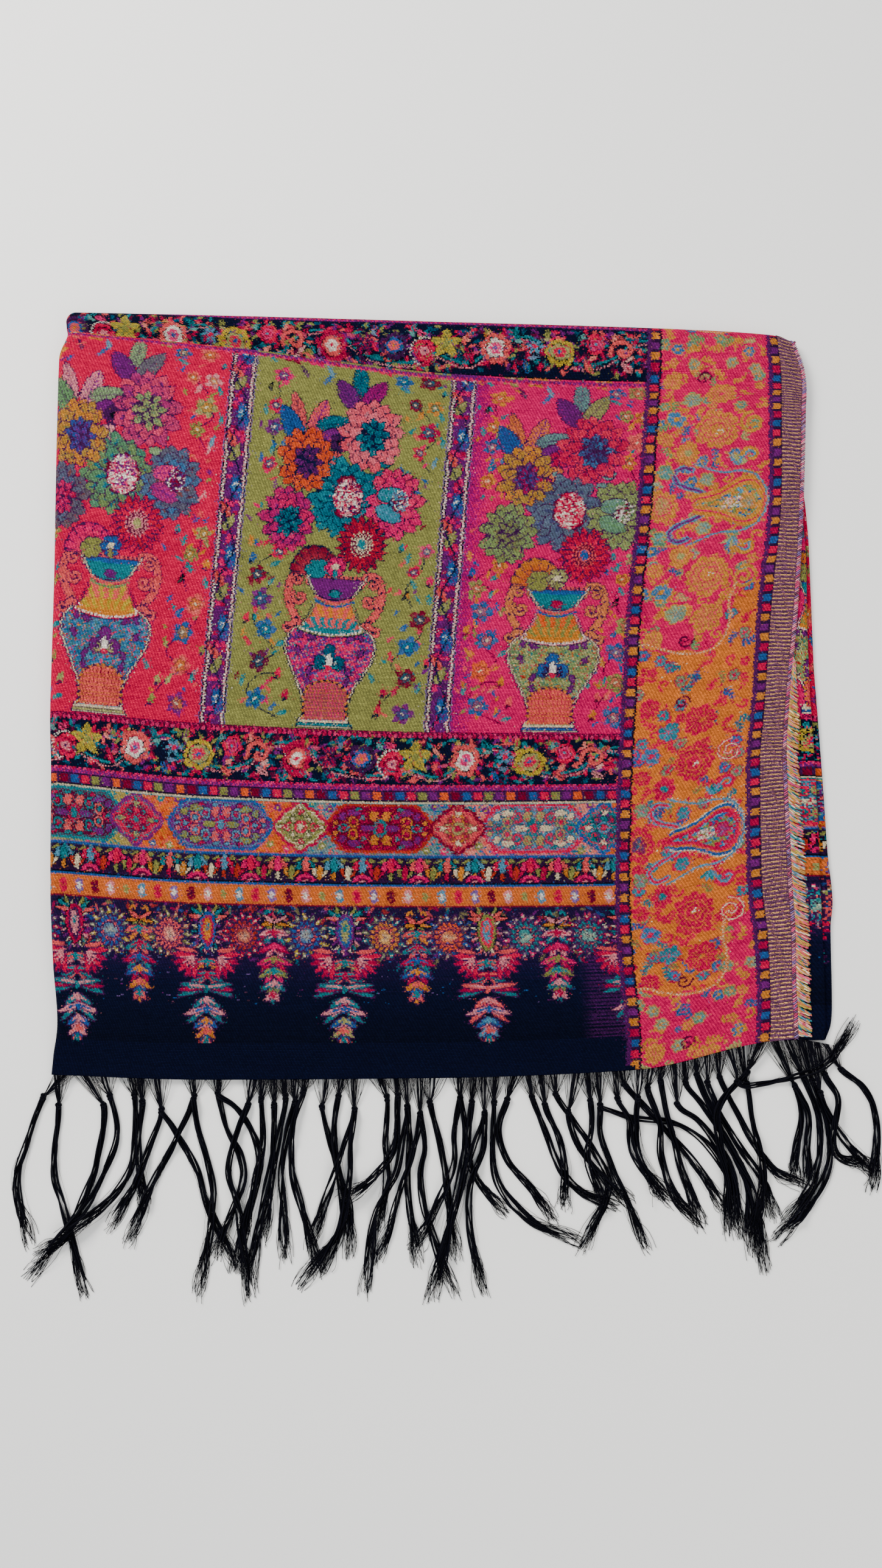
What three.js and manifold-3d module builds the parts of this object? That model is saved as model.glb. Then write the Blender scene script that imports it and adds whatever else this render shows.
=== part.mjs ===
// A woven shawl folded into a flat pad: the patterned face cloth, its side border and selvage,
// the folded layers under and beside them, and a knotted fringe along the front hem.
// Millimetres, +Z up. The front hem faces -Y and the selvage faces +X.
import * as THREE from "three";
import Module from "manifold-3d";

const WALL = 1.2; // thickness of the face cloth
const GAP = 0.3; // between neighbouring pieces
const BODY_DEPTH = WALL + GAP; // how far the folded layers lie under the face
const SHIFT = [-4.56, -5.69]; // puts the middle of the whole outline on the origin

// Lines that run the length of the cloth, as distances from its left fold.
const FOLD = 0;
const STRIP_ONE = 116;
const STRIP_TWO = 262;
const CHECK = 383;
const EDGE_STRIP = 463;
const SELVAGE = 481;
const LINES = [FOLD, STRIP_ONE, STRIP_TWO, CHECK, EDGE_STRIP, SELVAGE];

// Each row is a line across the cloth at `along` from the front hem. x, y and z are where it
// meets the six LINES. x of the left fold is the outermost point of the rolled fold.
const ROWS = [
  { along: 0, x: [-243, -147, -4, 121, 202, 221.5], y: [-182, -185, -184, -179, -162, -160], z: [4.4, 4.2, 4.2, 4.2, 4.6, 5] },
  { along: 12, x: [-242, -147, -4, 121, 203, 221.5], y: [-170, -173, -172, -167, -150, -148], z: [6, 5.8, 5.8, 5.6, 5.6, 5.6] },
  { along: 30, x: [-240, -147, -4, 120, 203, 221], y: [-152, -154, -154, -150, -133, -131], z: [8.2, 8.4, 8.4, 8, 7.2, 6.4] },
  { along: 70, x: [-244, -147, -4, 116.5, 202, 221.5], y: [-111, -115, -116, -113, -97, -95], z: [10.6, 11, 11, 10.4, 9, 7.2] },
  { along: 108, x: [-247, -147, -4, 115, 199, 220.5], y: [-70, -76, -78, -77, -61, -58], z: [11.8, 12.2, 12.2, 11.6, 10, 7.4] },
  { along: 188, x: [-250, -147.5, -4, 117.5, 200.5, 220], y: [12, 3, -1, 0, 14, 16], z: [12.4, 12.8, 12.8, 12.2, 10.6, 7.4] },
  { along: 222, x: [-252, -146.3, -2.7, 119.7, 204, 222.3], y: [47, 38.5, 33, 32, 44, 46], z: [12.4, 13, 13, 12.4, 10.8, 7.4] },
  { along: 300, x: [-253, -141, 3, 125.6, 211.4, 231], y: [133, 122, 112, 109, 118, 119], z: [12.8, 13.2, 13.2, 12.6, 11, 7.4] },
  { along: 380, x: [-255, -135.6, 9.6, 134.6, 221, 237.6], y: [220, 206, 193, 188, 194, 195], z: [12.8, 13.2, 13.2, 12.6, 11, 7.6] },
  { along: 440, x: [-256, -131.4, 14.5, 140.2, 223, 241], y: [287, 271, 253, 248, 252, 252], z: [12.6, 12.8, 12.8, 12.4, 11, 7.8] },
  { along: 467, x: [-251, -130, 16, 142, 223.5, 242], y: [305, 293, 275, 270, 271, 270], z: [12, 11.4, 11, 11, 10.8, 8] },
  { along: 479, x: [-251.5, -130.3, 16.5, 142.5, 223, 240.5], y: [309, 300, 287, 283, 282, 282], z: [14, 15, 15.4, 14.6, 12.2, 8.6] },
  { along: 497, x: [-252, -130.5, 17, 143, 222, 236], y: [313.5, 310, 305, 301.7, 298.7, 296.5], z: [14, 15, 15.6, 14.6, 12.2, 8.6] },
];
const TOP_FOLD = ROWS[ROWS.length - 1].along;

// Lines where the cloth is cut into faces, and the angles of the rolled folds.
const FIELD_ACROSS = [0, 24, 54, 85, 116, 152, 190, 226, 262, 302, 342, CHECK - GAP / 2];
const BORDER_ACROSS = [CHECK + GAP / 2, 403, 423, 443, EDGE_STRIP - GAP / 2];
const SELVAGE_ACROSS = [EDGE_STRIP + GAP / 2, 472, SELVAGE];
const ALONG = [0, 6, 12, 20, 30, 48, 70, 108, 148, 188, 222, 262, 300, 340, 380, 415, 440, 456, 467, 472, 479, 488, TOP_FOLD];
const ROLL = [0, 30, 60, 90, 125, 160].map(THREE.MathUtils.degToRad);
const CORNER_STEPS = 4;

// Slope-limited cubic interpolation, so that a table never overshoots between its rows.
function slopes(xs, ys) {
  const secant = xs.slice(1).map((x, i) => (ys[i + 1] - ys[i]) / (x - xs[i]));
  return xs.map((_, i) => {
    if (i === 0) return secant[0];
    if (i === xs.length - 1) return secant[i - 1];
    const [before, after] = [secant[i - 1], secant[i]];
    return before * after <= 0 ? 0 : (2 * before * after) / (before + after);
  });
}

function curve(xs, ys) {
  const slope = slopes(xs, ys);
  return (x) => {
    let i = xs.findIndex((knot) => knot > x) - 1;
    if (i < -1) i = xs.length - 2;
    i = Math.max(0, Math.min(xs.length - 2, i));
    const width = xs[i + 1] - xs[i];
    const t = Math.max(0, Math.min(1, (x - xs[i]) / width));
    const [t2, t3] = [t * t, t * t * t];
    return (
      (2 * t3 - 3 * t2 + 1) * ys[i] + (t3 - 2 * t2 + t) * width * slope[i] +
      (3 * t2 - 2 * t3) * ys[i + 1] + (t3 - t2) * width * slope[i + 1]
    );
  };
}

const column = (axis) => LINES.map((_, line) => curve(ROWS.map((row) => row.along), ROWS.map((row) => row[axis][line])));
const TABLE = { x: column("x"), y: column("y"), z: column("z") };

// The flat part of the face: `across` and `along` in cloth millimetres to a point in space.
// The first line is moved in by the roll's radius, so that the roll's outside is on the table.
function surface(across, along) {
  const read = (axis) => TABLE[axis].map((line) => line(along));
  const [xs, ys, zs] = [read("x"), read("y"), read("z")];
  xs[0] += zs[0] / 2;
  const at = (values) => curve(LINES, values)(across);
  const [x, y] = [at(xs), at(ys)];
  const ripple = 0.35 * Math.sin(x / 31 + y / 55) * Math.sin(y / 43 - x / 90);
  const calm = Math.min(1, along / 60, (SELVAGE - across) / 60, (across + 1) / 30, Math.max(0, 467 - along) / 40);
  return new THREE.Vector3(x, y, at(zs) + ripple * calm);
}

// A point on the rolled fold that starts at a point of the face and curls down to the floor.
function rolled(across, along, angle, heading) {
  const start = surface(across, along);
  const radius = start.z / 2;
  const out = radius * Math.sin(angle);
  return new THREE.Vector3(
    start.x + out * Math.cos(heading),
    start.y + out * Math.sin(heading),
    radius + radius * Math.cos(angle),
  );
}

// The face between the given lines, with its rolled top fold and, where `leftFold` is true,
// its rolled left fold and the corner that joins the two.
function clothSheet(across, along, leftFold) {
  const points = [];
  const faces = [];
  const numbers = new Map();
  const number = (key, make) => {
    if (!numbers.has(key)) {
      numbers.set(key, points.length);
      points.push(make());
    }
    return numbers.get(key);
  };
  const lastRow = along.length - 1;
  const flat = (i, j) => number(`flat ${i} ${j}`, () => surface(across[i], along[j]));
  const left = (k, j) => (k === 0 ? flat(0, j) : number(`left ${k} ${j}`, () => rolled(across[0], along[j], ROLL[k], Math.PI)));
  const top = (i, k) => (k === 0 ? flat(i, lastRow) : number(`top ${i} ${k}`, () => rolled(across[i], along[lastRow], ROLL[k], Math.PI / 2)));
  const corner = (s, k) => {
    if (s === 0) return left(k, lastRow);
    if (s === CORNER_STEPS) return top(0, k);
    const heading = Math.PI - (Math.PI / 2) * (s / CORNER_STEPS);
    return k === 0 ? flat(0, lastRow) : number(`corner ${s} ${k}`, () => rolled(across[0], along[lastRow], ROLL[k], heading));
  };
  const quad = (a, b, c, d) => {
    if (a !== b) faces.push([a, b, c]);
    if (c !== d) faces.push([a, c, d]);
  };
  for (let i = 0; i + 1 < across.length; i++) {
    for (let j = 0; j < lastRow; j++) quad(flat(i, j), flat(i + 1, j), flat(i + 1, j + 1), flat(i, j + 1));
    for (let k = 0; k + 1 < ROLL.length; k++) quad(top(i, k), top(i + 1, k), top(i + 1, k + 1), top(i, k + 1));
  }
  if (leftFold) {
    for (let k = 0; k + 1 < ROLL.length; k++) {
      for (let j = 0; j < lastRow; j++) quad(left(k + 1, j), left(k, j), left(k, j + 1), left(k + 1, j + 1));
      for (let s = 0; s < CORNER_STEPS; s++) quad(corner(s, k), corner(s + 1, k), corner(s + 1, k + 1), corner(s, k + 1));
    }
  }
  return { points, faces, flat, left, top, corner, lastRow };
}

function normals(points, faces) {
  const sums = points.map(() => new THREE.Vector3());
  const [ab, ac] = [new THREE.Vector3(), new THREE.Vector3()];
  for (const [a, b, c] of faces) {
    ab.subVectors(points[b], points[a]);
    ac.subVectors(points[c], points[a]);
    ab.cross(ac);
    for (const corner of [a, b, c]) sums[corner].add(ab);
  }
  return sums.map((sum) => sum.normalize());
}

function sunk(points, faces, depth) {
  const outward = normals(points, faces);
  return points.map((point, i) => point.clone().addScaledVector(outward[i], -depth));
}

// Edges that only one face uses, in that face's direction.
function openEdges(faces) {
  const edges = new Map();
  for (const face of faces) {
    face.forEach((from, i) => {
      const to = face[(i + 1) % 3];
      const twin = `${to} ${from}`;
      if (edges.has(twin)) edges.delete(twin);
      else edges.set(`${from} ${to}`, [from, to]);
    });
  }
  return [...edges.values()];
}

// A cloth of even thickness under an open sheet.
function wall({ points, faces }, thickness) {
  const count = points.length;
  const inner = sunk(points, faces, thickness);
  const solid = faces.concat(faces.map(([a, b, c]) => [c + count, b + count, a + count]));
  for (const [from, to] of openEdges(faces)) {
    solid.push([to, from, from + count], [to, from + count, to + count]);
  }
  return geometry(points.concat(inner), solid);
}

function geometry(points, faces) {
  const shape = new THREE.BufferGeometry();
  shape.setAttribute("position", new THREE.Float32BufferAttribute(points.flatMap((point) => point.toArray()), 3));
  shape.setIndex(faces.flat());
  shape.computeVertexNormals();
  return shape;
}

// The folded layers: one rounded solid under the face, flat on the floor, open to nothing.
function foldedLayers() {
  const across = [...FIELD_ACROSS.slice(0, -1), CHECK, ...BORDER_ACROSS.slice(1, -1), EDGE_STRIP, SELVAGE - 4];
  const along = [4, ...ALONG.filter((value) => value > 6)];
  const sheet = clothSheet(across, along, true);
  const points = sunk(sheet.points, sheet.faces, BODY_DEPTH);
  const faces = sheet.faces.slice();
  const { flat, left, top, corner, lastRow } = sheet;
  const lastLine = across.length - 1;
  const lastAngle = ROLL.length - 1;
  const floor = (over) => {
    points.push(new THREE.Vector3(points[over].x, points[over].y, 0));
    return points.length - 1;
  };
  // the roll's last ring goes straight down to the floor, a little inwards
  const foot = (ring, inner) => {
    const spot = points[inner].clone().lerp(points[ring], 0.12);
    points.push(new THREE.Vector3(spot.x, spot.y, 0));
    return points.length - 1;
  };
  const leftFeet = along.map((_, j) => foot(left(lastAngle, j), flat(0, j)));
  const topFeet = across.map((_, i) => foot(top(i, lastAngle), flat(i, lastRow)));
  const cornerFeet = [];
  for (let s = 1; s < CORNER_STEPS; s++) cornerFeet.push(foot(corner(s, lastAngle), flat(0, lastRow)));
  const band = (upper, lower) => {
    for (let i = 0; i + 1 < upper.length; i++) {
      faces.push([upper[i], upper[i + 1], lower[i + 1]], [upper[i], lower[i + 1], lower[i]]);
    }
  };
  band(along.map((_, j) => left(lastAngle, j)), leftFeet);
  band([...Array(CORNER_STEPS + 1).keys()].map((s) => corner(s, lastAngle)), [leftFeet[lastRow], ...cornerFeet, topFeet[0]]);
  band(across.map((_, i) => top(i, lastAngle)), topFeet);
  // the front flank, and the flank under the selvage
  const frontTop = across.map((_, i) => flat(i, 0));
  const frontFloor = [leftFeet[0], ...frontTop.slice(1).map(floor)];
  const sideTop = along.map((_, j) => flat(lastLine, j));
  const sideFloor = [frontFloor[lastLine], ...sideTop.slice(1, -1).map(floor), topFeet[lastLine]];
  band(frontFloor, frontTop);
  band(sideFloor, sideTop);
  const fan = (hub, rim) => {
    for (let i = 0; i + 1 < rim.length; i++) faces.push([hub, rim[i], rim[i + 1]]);
  };
  fan(leftFeet[0], [...ROLL.keys()].map((k) => left(k, 0)));
  fan(topFeet[lastLine], [...ROLL.keys()].reverse().map((k) => top(lastLine, k)));
  // the flat underside
  const outline = [
    ...frontFloor,
    ...sideFloor.slice(1),
    ...topFeet.slice(0, -1).reverse(),
    ...cornerFeet.slice().reverse(),
    ...leftFeet.slice(1).reverse(),
  ];
  const contour = outline.map((i) => new THREE.Vector2(points[i].x, points[i].y));
  for (const [a, b, c] of THREE.ShapeUtils.triangulateShape(contour, [])) {
    faces.push([outline[c], outline[b], outline[a]]);
  }
  return geometry(points, faces);
}

// A closed body through sections that all have the same number of points.
function lofted(sections) {
  const count = sections[0].length;
  const points = sections.flat();
  const faces = [];
  for (let s = 0; s + 1 < sections.length; s++) {
    for (let i = 0; i < count; i++) {
      const [a, b] = [s * count + i, s * count + ((i + 1) % count)];
      faces.push([a, b, b + count], [a, b + count, a + count]);
    }
  }
  const last = (sections.length - 1) * count;
  for (let i = 1; i + 1 < count; i++) {
    faces.push([0, i + 1, i], [last, last + i, last + i + 1]);
  }
  const volume = faces.reduce((sum, [a, b, c]) => sum + points[a].dot(points[b].clone().cross(points[c])), 0);
  return geometry(points, volume > 0 ? faces : faces.map((face) => face.reverse()));
}

// Right-hand outlines of the two layers that show beside the selvage: y upwards, then x.
const SECOND_EDGE = curve([-163, -150, -91, -42, 32, 63, 104, 146, 208, 254, 290], [239, 241, 241, 241, 240, 239, 239, 240, 238, 239, 235]);
const THIRD_EDGE = curve([-163, -150, -139, -91, -74, -42, -5, 53, 83, 157, 183, 208, 254, 290], [240, 245, 246, 247, 249, 247, 246, 244, 243, 243, 242, 240, 238.5, 234]);
const SIDE_ALONG = [-0.5, 3, 12, 30, 70, 90, 108, 148, 188, 222, 262, 300, 340, 380, 415, 440, 467, 476];

// A folded edge that lies beside the folded layers, under the selvage, with a rounded outer side.
function sideLayer(edge, bottomOf, topOf) {
  const sections = SIDE_ALONG.map((along) => {
    const inner = surface(SELVAGE - 4 + GAP, Math.max(0, along));
    const y = inner.y + Math.min(0, along);
    const under = surface(SELVAGE, Math.max(0, along)).z - WALL - GAP - 0.15;
    const [low, high, right] = [bottomOf(under), topOf(under), Math.max(edge(y), inner.x + 3)];
    const half = (high - low) / 2;
    const at = (x, z) => new THREE.Vector3(x, y, z);
    return [
      at(inner.x, low),
      at(right - half, low),
      at(right - half * 0.3, low + half * 0.4),
      at(right, low + half),
      at(right - half * 0.3, high - half * 0.4),
      at(right - half, high),
      at(inner.x, high),
    ];
  });
  return lofted(sections);
}

// The cut ends of the coloured wefts along the selvage.
function yarnEdge() {
  const reach = curve([0, 20, 110, 188, 222, 262], [10.5, 11, 11.5, 10, 9, 3.5]);
  const sections = [0, 6, 12, 30, 70, 108, 148, 188, 222, 245, 262].map((along) => {
    const edge = surface(SELVAGE, along);
    const [high, low] = [edge.z - 0.1, edge.z - WALL];
    const at = (out, z) => new THREE.Vector3(edge.x + out, edge.y, z);
    return [at(GAP, low), at(reach(along), low), at(reach(along), high), at(GAP, high)];
  });
  return lofted(sections);
}

// The fringe, hem to tip: where each tassel leaves the hem, its knot, and its strands' points.
const TASSELS = {
  fringe_left: [
    { root: -235, knot: [-248, -196], strands: [[[-257, -225], [-262, -248], [-254, -277]]] },
    { root: -240, knot: [-238, -202], strands: [[[-239, -240], [-232, -262], [-219, -306]]] },
    { root: -222, knot: [-210, -201], strands: [[[-212, -230], [-218, -252], [-230, -278], [-242, -287]]] },
    { root: -210, knot: [-206, -196], strands: [[[-201, -218], [-208, -240], [-220, -264], [-247, -297]]] },
    { root: -193, knot: [-191, -195], strands: [[[-190, -220], [-193, -242], [-208, -262], [-228, -276]]] },
    { root: -187, knot: [-186, -198], strands: [[[-187, -225], [-184, -257]]] },
    { root: -177, knot: [-174, -204], strands: [[[-180, -225], [-187, -246], [-200, -269]], [[-162, -221], [-151, -240], [-143, -262], [-128, -291]]] },
    { root: -154, knot: [-154, -196], strands: [[[-163, -219], [-174, -240], [-190, -276]], [[-151, -216], [-144, -236], [-140, -262], [-147, -305]]] },
    { root: -139, knot: [-139, -194], strands: [[[-133, -215], [-124, -232], [-123, -250], [-137, -286]], [[-126, -204], [-115, -222], [-112, -240], [-118, -262], [-125, -292]]] },
    { root: -117, knot: [-120, -200], strands: [[[-128, -222], [-131, -242], [-124, -264], [-118, -307]]] },
    { root: -110, knot: [-112, -198], strands: [[[-110, -225], [-115, -250], [-121, -274]]] },
    { root: -104, knot: [-104, -201], strands: [[[-104, -225], [-107, -250], [-116, -298]]] },
    { root: -98, knot: [-97, -196], strands: [[[-100, -220], [-104, -246], [-108, -276]]] },
    { root: -91, knot: [-91, -199], strands: [[[-96, -220], [-98, -244], [-96, -287]]] },
    { root: -84, knot: [-86, -193], strands: [[[-92, -214], [-92, -240], [-85, -265], [-77, -293]]] },
  ],
  fringe_middle: [
    { root: -71, knot: [-74, -202], strands: [[[-69, -222], [-62, -245], [-61, -272], [-69, -294]]] },
    { root: -62, knot: [-64, -196], strands: [[[-66, -212], [-64, -235], [-57, -260], [-56, -283]]] },
    { root: -54, knot: [-54, -204], strands: [[[-60, -225], [-66, -245], [-79, -279]], [[-56, -228], [-57, -250], [-63, -275], [-82, -302]]] },
    { root: -38, knot: [-33.5, -197], strands: [[[-34, -222], [-33, -246], [-38, -270]]] },
    { root: -28, knot: [-27, -196], strands: [[[-28, -224], [-38, -241], [-56, -254]]] },
    { root: -22, knot: [-21, -202], strands: [[[-24, -222], [-28, -243], [-40, -265], [-45, -305]], [[-19, -225], [-20, -250], [-16, -288]]] },
    { root: -13, knot: [-13, -207], strands: [[[-17, -230], [-25, -252], [-37, -289]], [[-10, -226], [-13, -245], [-8, -270], [5, -305]]] },
    { root: -5, knot: [-7, -199], strands: [[[0, -226], [4, -248], [8, -285]]] },
    { root: 12, knot: [12, -196], strands: [[[8, -218], [8, -238], [-3, -262], [-13, -280]], [[15, -218], [12, -245], [5, -272], [-4, -309]]] },
    { root: 20, knot: [19, -200], strands: [[[17, -226], [22, -244], [37, -262]]] },
    { root: 27, knot: [27, -206], strands: [[[20, -226], [14, -246], [6, -272], [0, -298]], [[26, -227], [18, -250], [18, -272], [24, -305]]] },
    { root: 34, knot: [33, -199], strands: [[[32, -232], [38, -252], [56, -270], [77, -280]]] },
    { root: 46, knot: [41, -198], strands: [[[36, -216], [42, -234], [55, -249], [66, -265]]] },
    { root: 54, knot: [57, -197], strands: [[[66, -219], [75, -240], [86, -252], [104, -260]]] },
    { root: 62, knot: [65, -202], strands: [[[73, -219], [77, -238], [76, -258]]] },
    { root: 70, knot: [72, -195], strands: [[[84, -212], [96, -229], [104, -250], [90, -281]]] },
  ],
  fringe_right: [
    { root: 84, knot: [79, -205], strands: [[[86, -226], [99, -242], [113, -257]]] },
    { root: 91, knot: [93, -198], strands: [[[94, -214], [91, -232], [99, -258]]] },
    { root: 98, knot: [99, -202], strands: [[[99, -219], [106, -238], [114, -257], [124, -282]], [[118, -208], [143, -211], [163, -222], [178, -243], [180, -262]]] },
    { root: 113, knot: [115, -189], strands: [[[127, -202], [142, -218], [158, -236], [172, -259]]] },
    { root: 108, knot: [110, -197], strands: [[[117, -210], [119, -228], [130, -245], [140, -256]]] },
    { root: 124, knot: [122, -197], strands: [[[121, -213], [123, -231], [134, -253]]] },
    { root: 131, knot: [129, -191], strands: [[[135, -210], [137, -232], [145, -256], [156, -269]]] },
    { root: 138, knot: [137, -187], strands: [[[141, -207], [148, -235], [158, -266]]] },
    { root: 145, knot: [147, -200], strands: [[[160, -210], [171, -224], [181, -243], [184, -272]]] },
    { root: 152, knot: [153, -188], strands: [[[164, -202], [177, -222], [189, -245], [190, -281]]] },
    { root: 159, knot: [160, -183], strands: [[[169, -205], [180, -228], [193, -256], [197, -292]]] },
    { root: 166, knot: [166, -187], strands: [[[174, -207], [187, -228], [199, -245], [204, -263]]] },
    { root: 173, knot: [174, -184], strands: [[[184, -204], [196, -226], [207, -240], [219, -246]]] },
    { root: 187, knot: [191, -189], strands: [[[194, -212], [198, -232], [198, -252], [193, -274]]] },
    { root: 200, knot: [190, -181], strands: [[[172, -202], [173, -226], [177, -246], [177, -270]]] },
    { root: 208, knot: [221, -190], strands: [[[224, -208], [221, -226], [218, -241]], [[229, -208], [227, -228], [227, -246]]] },
    { root: 216, knot: [226, -183], strands: [[[235, -208], [235, -230], [228, -250], [217, -266]]] },
    { root: 224, knot: [232, -187], strands: [[[240, -213], [240, -236], [229, -258], [211, -276]]] },
    { root: 230, knot: [236, -194], strands: [[[243, -210], [253, -225], [263, -237]]] },
    { root: 235, knot: [240, -183], strands: [[[247, -196], [244, -214], [246, -231], [261, -236]]] },
    { root: 240, knot: [250, -179], strands: [[[263, -189], [270, -203], [271, -222], [267, -246]]] },
    { root: 180, knot: [185, -187], strands: [[[203, -187], [222, -182], [241, -174], [256, -155]]] },
  ],
};
const STRAND_RADIUS = 1;
const KNOT_RADIUS = 1.9;
const TIP_RADIUS = 0.5;
const FLOOR_CLEARANCE = 0.15;
const STEEPEST = 0.3; // rise over run of a strand that climbs over another
const STRIP_WIDTH = 2;

const hemPoint = (x) => {
  const [low, high] = [FOLD, SELVAGE];
  let [from, to] = [low, high];
  for (let i = 0; i < 30; i++) {
    const middle = (from + to) / 2;
    if (surface(middle, 0).x < x) from = middle;
    else to = middle;
  }
  const point = surface(from, 0);
  // past the selvage the hem goes on along the layers beside it
  return point.x > x - 0.1 ? point : new THREE.Vector3(x, point.y - (x - point.x) * 0.19, point.z);
};

// The narrow strip that the roots are fused into, 0.3 mm off the hem.
function backing(left, right) {
  const steps = Math.ceil((right - left) / 14);
  const sections = [];
  for (let i = 0; i <= steps; i++) {
    const point = hemPoint(left + ((right - left) * i) / steps);
    const [near, far] = [point.y - GAP, point.y - GAP - STRIP_WIDTH];
    const [low, high] = [point.z - 1.3, point.z - 0.1];
    sections.push([[near, low], [far, low], [far, high], [near, high]].map(([y, z]) => new THREE.Vector3(point.x, y, z)));
  }
  return lofted(sections);
}

// Plan points of one strand, with the knot's swelling as three of them.
function strandPlan(start, knot, rest, forked) {
  const before = start.clone().lerp(knot, 0.78);
  const path = new THREE.CatmullRomCurve3([knot, ...rest], false, "centripetal");
  const length = path.getLength();
  const after = path.getPointAt(3.2 / length);
  const steps = Math.max(4, Math.round(length / 17));
  const plan = forked ? [knot, after] : [start, before, knot, after];
  const radii = forked ? [STRAND_RADIUS, STRAND_RADIUS] : [0.8, STRAND_RADIUS, KNOT_RADIUS, STRAND_RADIUS];
  for (let i = 1; i <= steps; i++) {
    const share = (3.2 + ((length - 3.2) * i) / steps) / length;
    plan.push(path.getPointAt(Math.min(1, share)));
    radii.push(i === steps ? TIP_RADIUS : STRAND_RADIUS);
  }
  return { plan, radii };
}

function samples(strand) {
  const list = [];
  for (let i = 0; i + 1 < strand.plan.length; i++) {
    const steps = Math.max(1, Math.round(strand.plan[i].distanceTo(strand.plan[i + 1]) / 1.2));
    for (let s = 0; s <= steps; s++) {
      const t = s / steps;
      list.push({
        segment: i,
        x: THREE.MathUtils.lerp(strand.plan[i].x, strand.plan[i + 1].x, t),
        y: THREE.MathUtils.lerp(strand.plan[i].y, strand.plan[i + 1].y, t),
        z: THREE.MathUtils.lerp(strand.heights[i], strand.heights[i + 1], t),
        radius: THREE.MathUtils.lerp(strand.radii[i], strand.radii[i + 1], t),
      });
    }
  }
  return list;
}

// Lays a strand on the floor and over every strand that is already there.
function lay(strand, laid) {
  const fixed = 1; // the root, or the knot of a fork
  const last = strand.plan.length - 1;
  strand.heights = strand.radii.map((radius, i) => (i < fixed ? strand.startHeight : radius + FLOOR_CLEARANCE));
  for (let pass = 0; pass < 3; pass++) {
    const lifts = strand.heights.map(() => 0);
    for (const spot of samples(strand)) {
      const atRoot = !strand.forked && spot.y > strand.plan[0].y - 3.5;
      if (atRoot) continue;
      for (const other of laid) {
        const reach = spot.radius + other.radius + GAP;
        const apart = Math.hypot(spot.x - other.x, spot.y - other.y);
        if (apart > reach || (other.tassel === strand.tassel && nearKnot(other, strand))) continue;
        const lift = other.z + reach - spot.z;
        for (const end of [spot.segment, spot.segment + 1]) lifts[end] = Math.max(lifts[end], lift);
      }
    }
    for (let i = fixed; i <= last; i++) strand.heights[i] += lifts[i];
    const ease = (i, neighbour) => {
      const fall = STEEPEST * strand.plan[i].distanceTo(strand.plan[neighbour]);
      strand.heights[i] = Math.max(strand.heights[i], strand.heights[neighbour] - fall);
    };
    for (let i = fixed + 1; i <= last; i++) ease(i, i - 1);
    for (let i = last - 1; i >= fixed; i--) ease(i, i + 1);
  }
}

const nearKnot = (other, strand) => Math.hypot(other.x - strand.knot.x, other.y - strand.knot.y) < 7;

function tube(strand) {
  const sections = strand.plan.map((point, i) => {
    const before = strand.plan[Math.max(0, i - 1)];
    const after = strand.plan[Math.min(strand.plan.length - 1, i + 1)];
    const ahead = after.clone().sub(before).normalize();
    const side = new THREE.Vector3(ahead.y, -ahead.x, 0).multiplyScalar(strand.radii[i]);
    const up = new THREE.Vector3(0, 0, strand.radii[i]);
    const centre = new THREE.Vector3(point.x, point.y, strand.heights[i]);
    return [side, up, side.clone().negate(), up.clone().negate()].map((offset) => centre.clone().add(offset));
  });
  return lofted(sections);
}

function layFringe() {
  const laid = [];
  const strands = { fringe_left: [], fringe_middle: [], fringe_right: [] };
  for (const [node, tassels] of Object.entries(TASSELS)) {
    for (const tassel of tassels) {
      const hem = hemPoint(tassel.root);
      const start = new THREE.Vector3(hem.x, hem.y - GAP - STRIP_WIDTH / 2, 0);
      const knot = new THREE.Vector3(...tassel.knot, 0);
      let knotHeight = 0;
      tassel.strands.forEach((points, turn) => {
        const rest = points.map(([x, y]) => new THREE.Vector3(x, y, 0));
        const forked = turn > 0;
        const strand = { tassel, knot, forked, ...strandPlan(start, knot, rest, forked) };
        strand.startHeight = forked ? knotHeight : hem.z - 0.7;
        lay(strand, laid);
        if (!forked) knotHeight = strand.heights[2];
        laid.push(...samples(strand).map((spot) => ({ ...spot, tassel })));
        strands[node].push(strand);
      });
    }
  }
  return strands;
}

const wasm = await Module();
wasm.setup();
const { Manifold, Mesh } = wasm;

function toManifold(shape) {
  return new Manifold(new Mesh({
    numProp: 3,
    vertProperties: new Float32Array(shape.attributes.position.array),
    triVerts: new Uint32Array(shape.index.array),
  }));
}

function fromManifold(solid) {
  const mesh = solid.getMesh();
  const shape = new THREE.BufferGeometry();
  shape.setAttribute("position", new THREE.BufferAttribute(new Float32Array(mesh.vertProperties), 3));
  shape.setIndex(new THREE.BufferAttribute(new Uint32Array(mesh.triVerts), 1));
  shape.computeVertexNormals();
  return shape;
}

function fringe(strip, strands) {
  return fromManifold(Manifold.union([strip, ...strands.map(tube)].map(toManifold)));
}

const shawl = new THREE.Group();
shawl.position.set(...SHIFT, 0);

function add(name, shape, color, roughness = 0.85, metalness = 0) {
  const mesh = new THREE.Mesh(shape, new THREE.MeshStandardMaterial({ color, roughness, metalness }));
  mesh.name = name;
  shawl.add(mesh);
}

const UNDER_BOTTOM = 0.56; // share of the height beside the selvage where the lower layer ends

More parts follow.
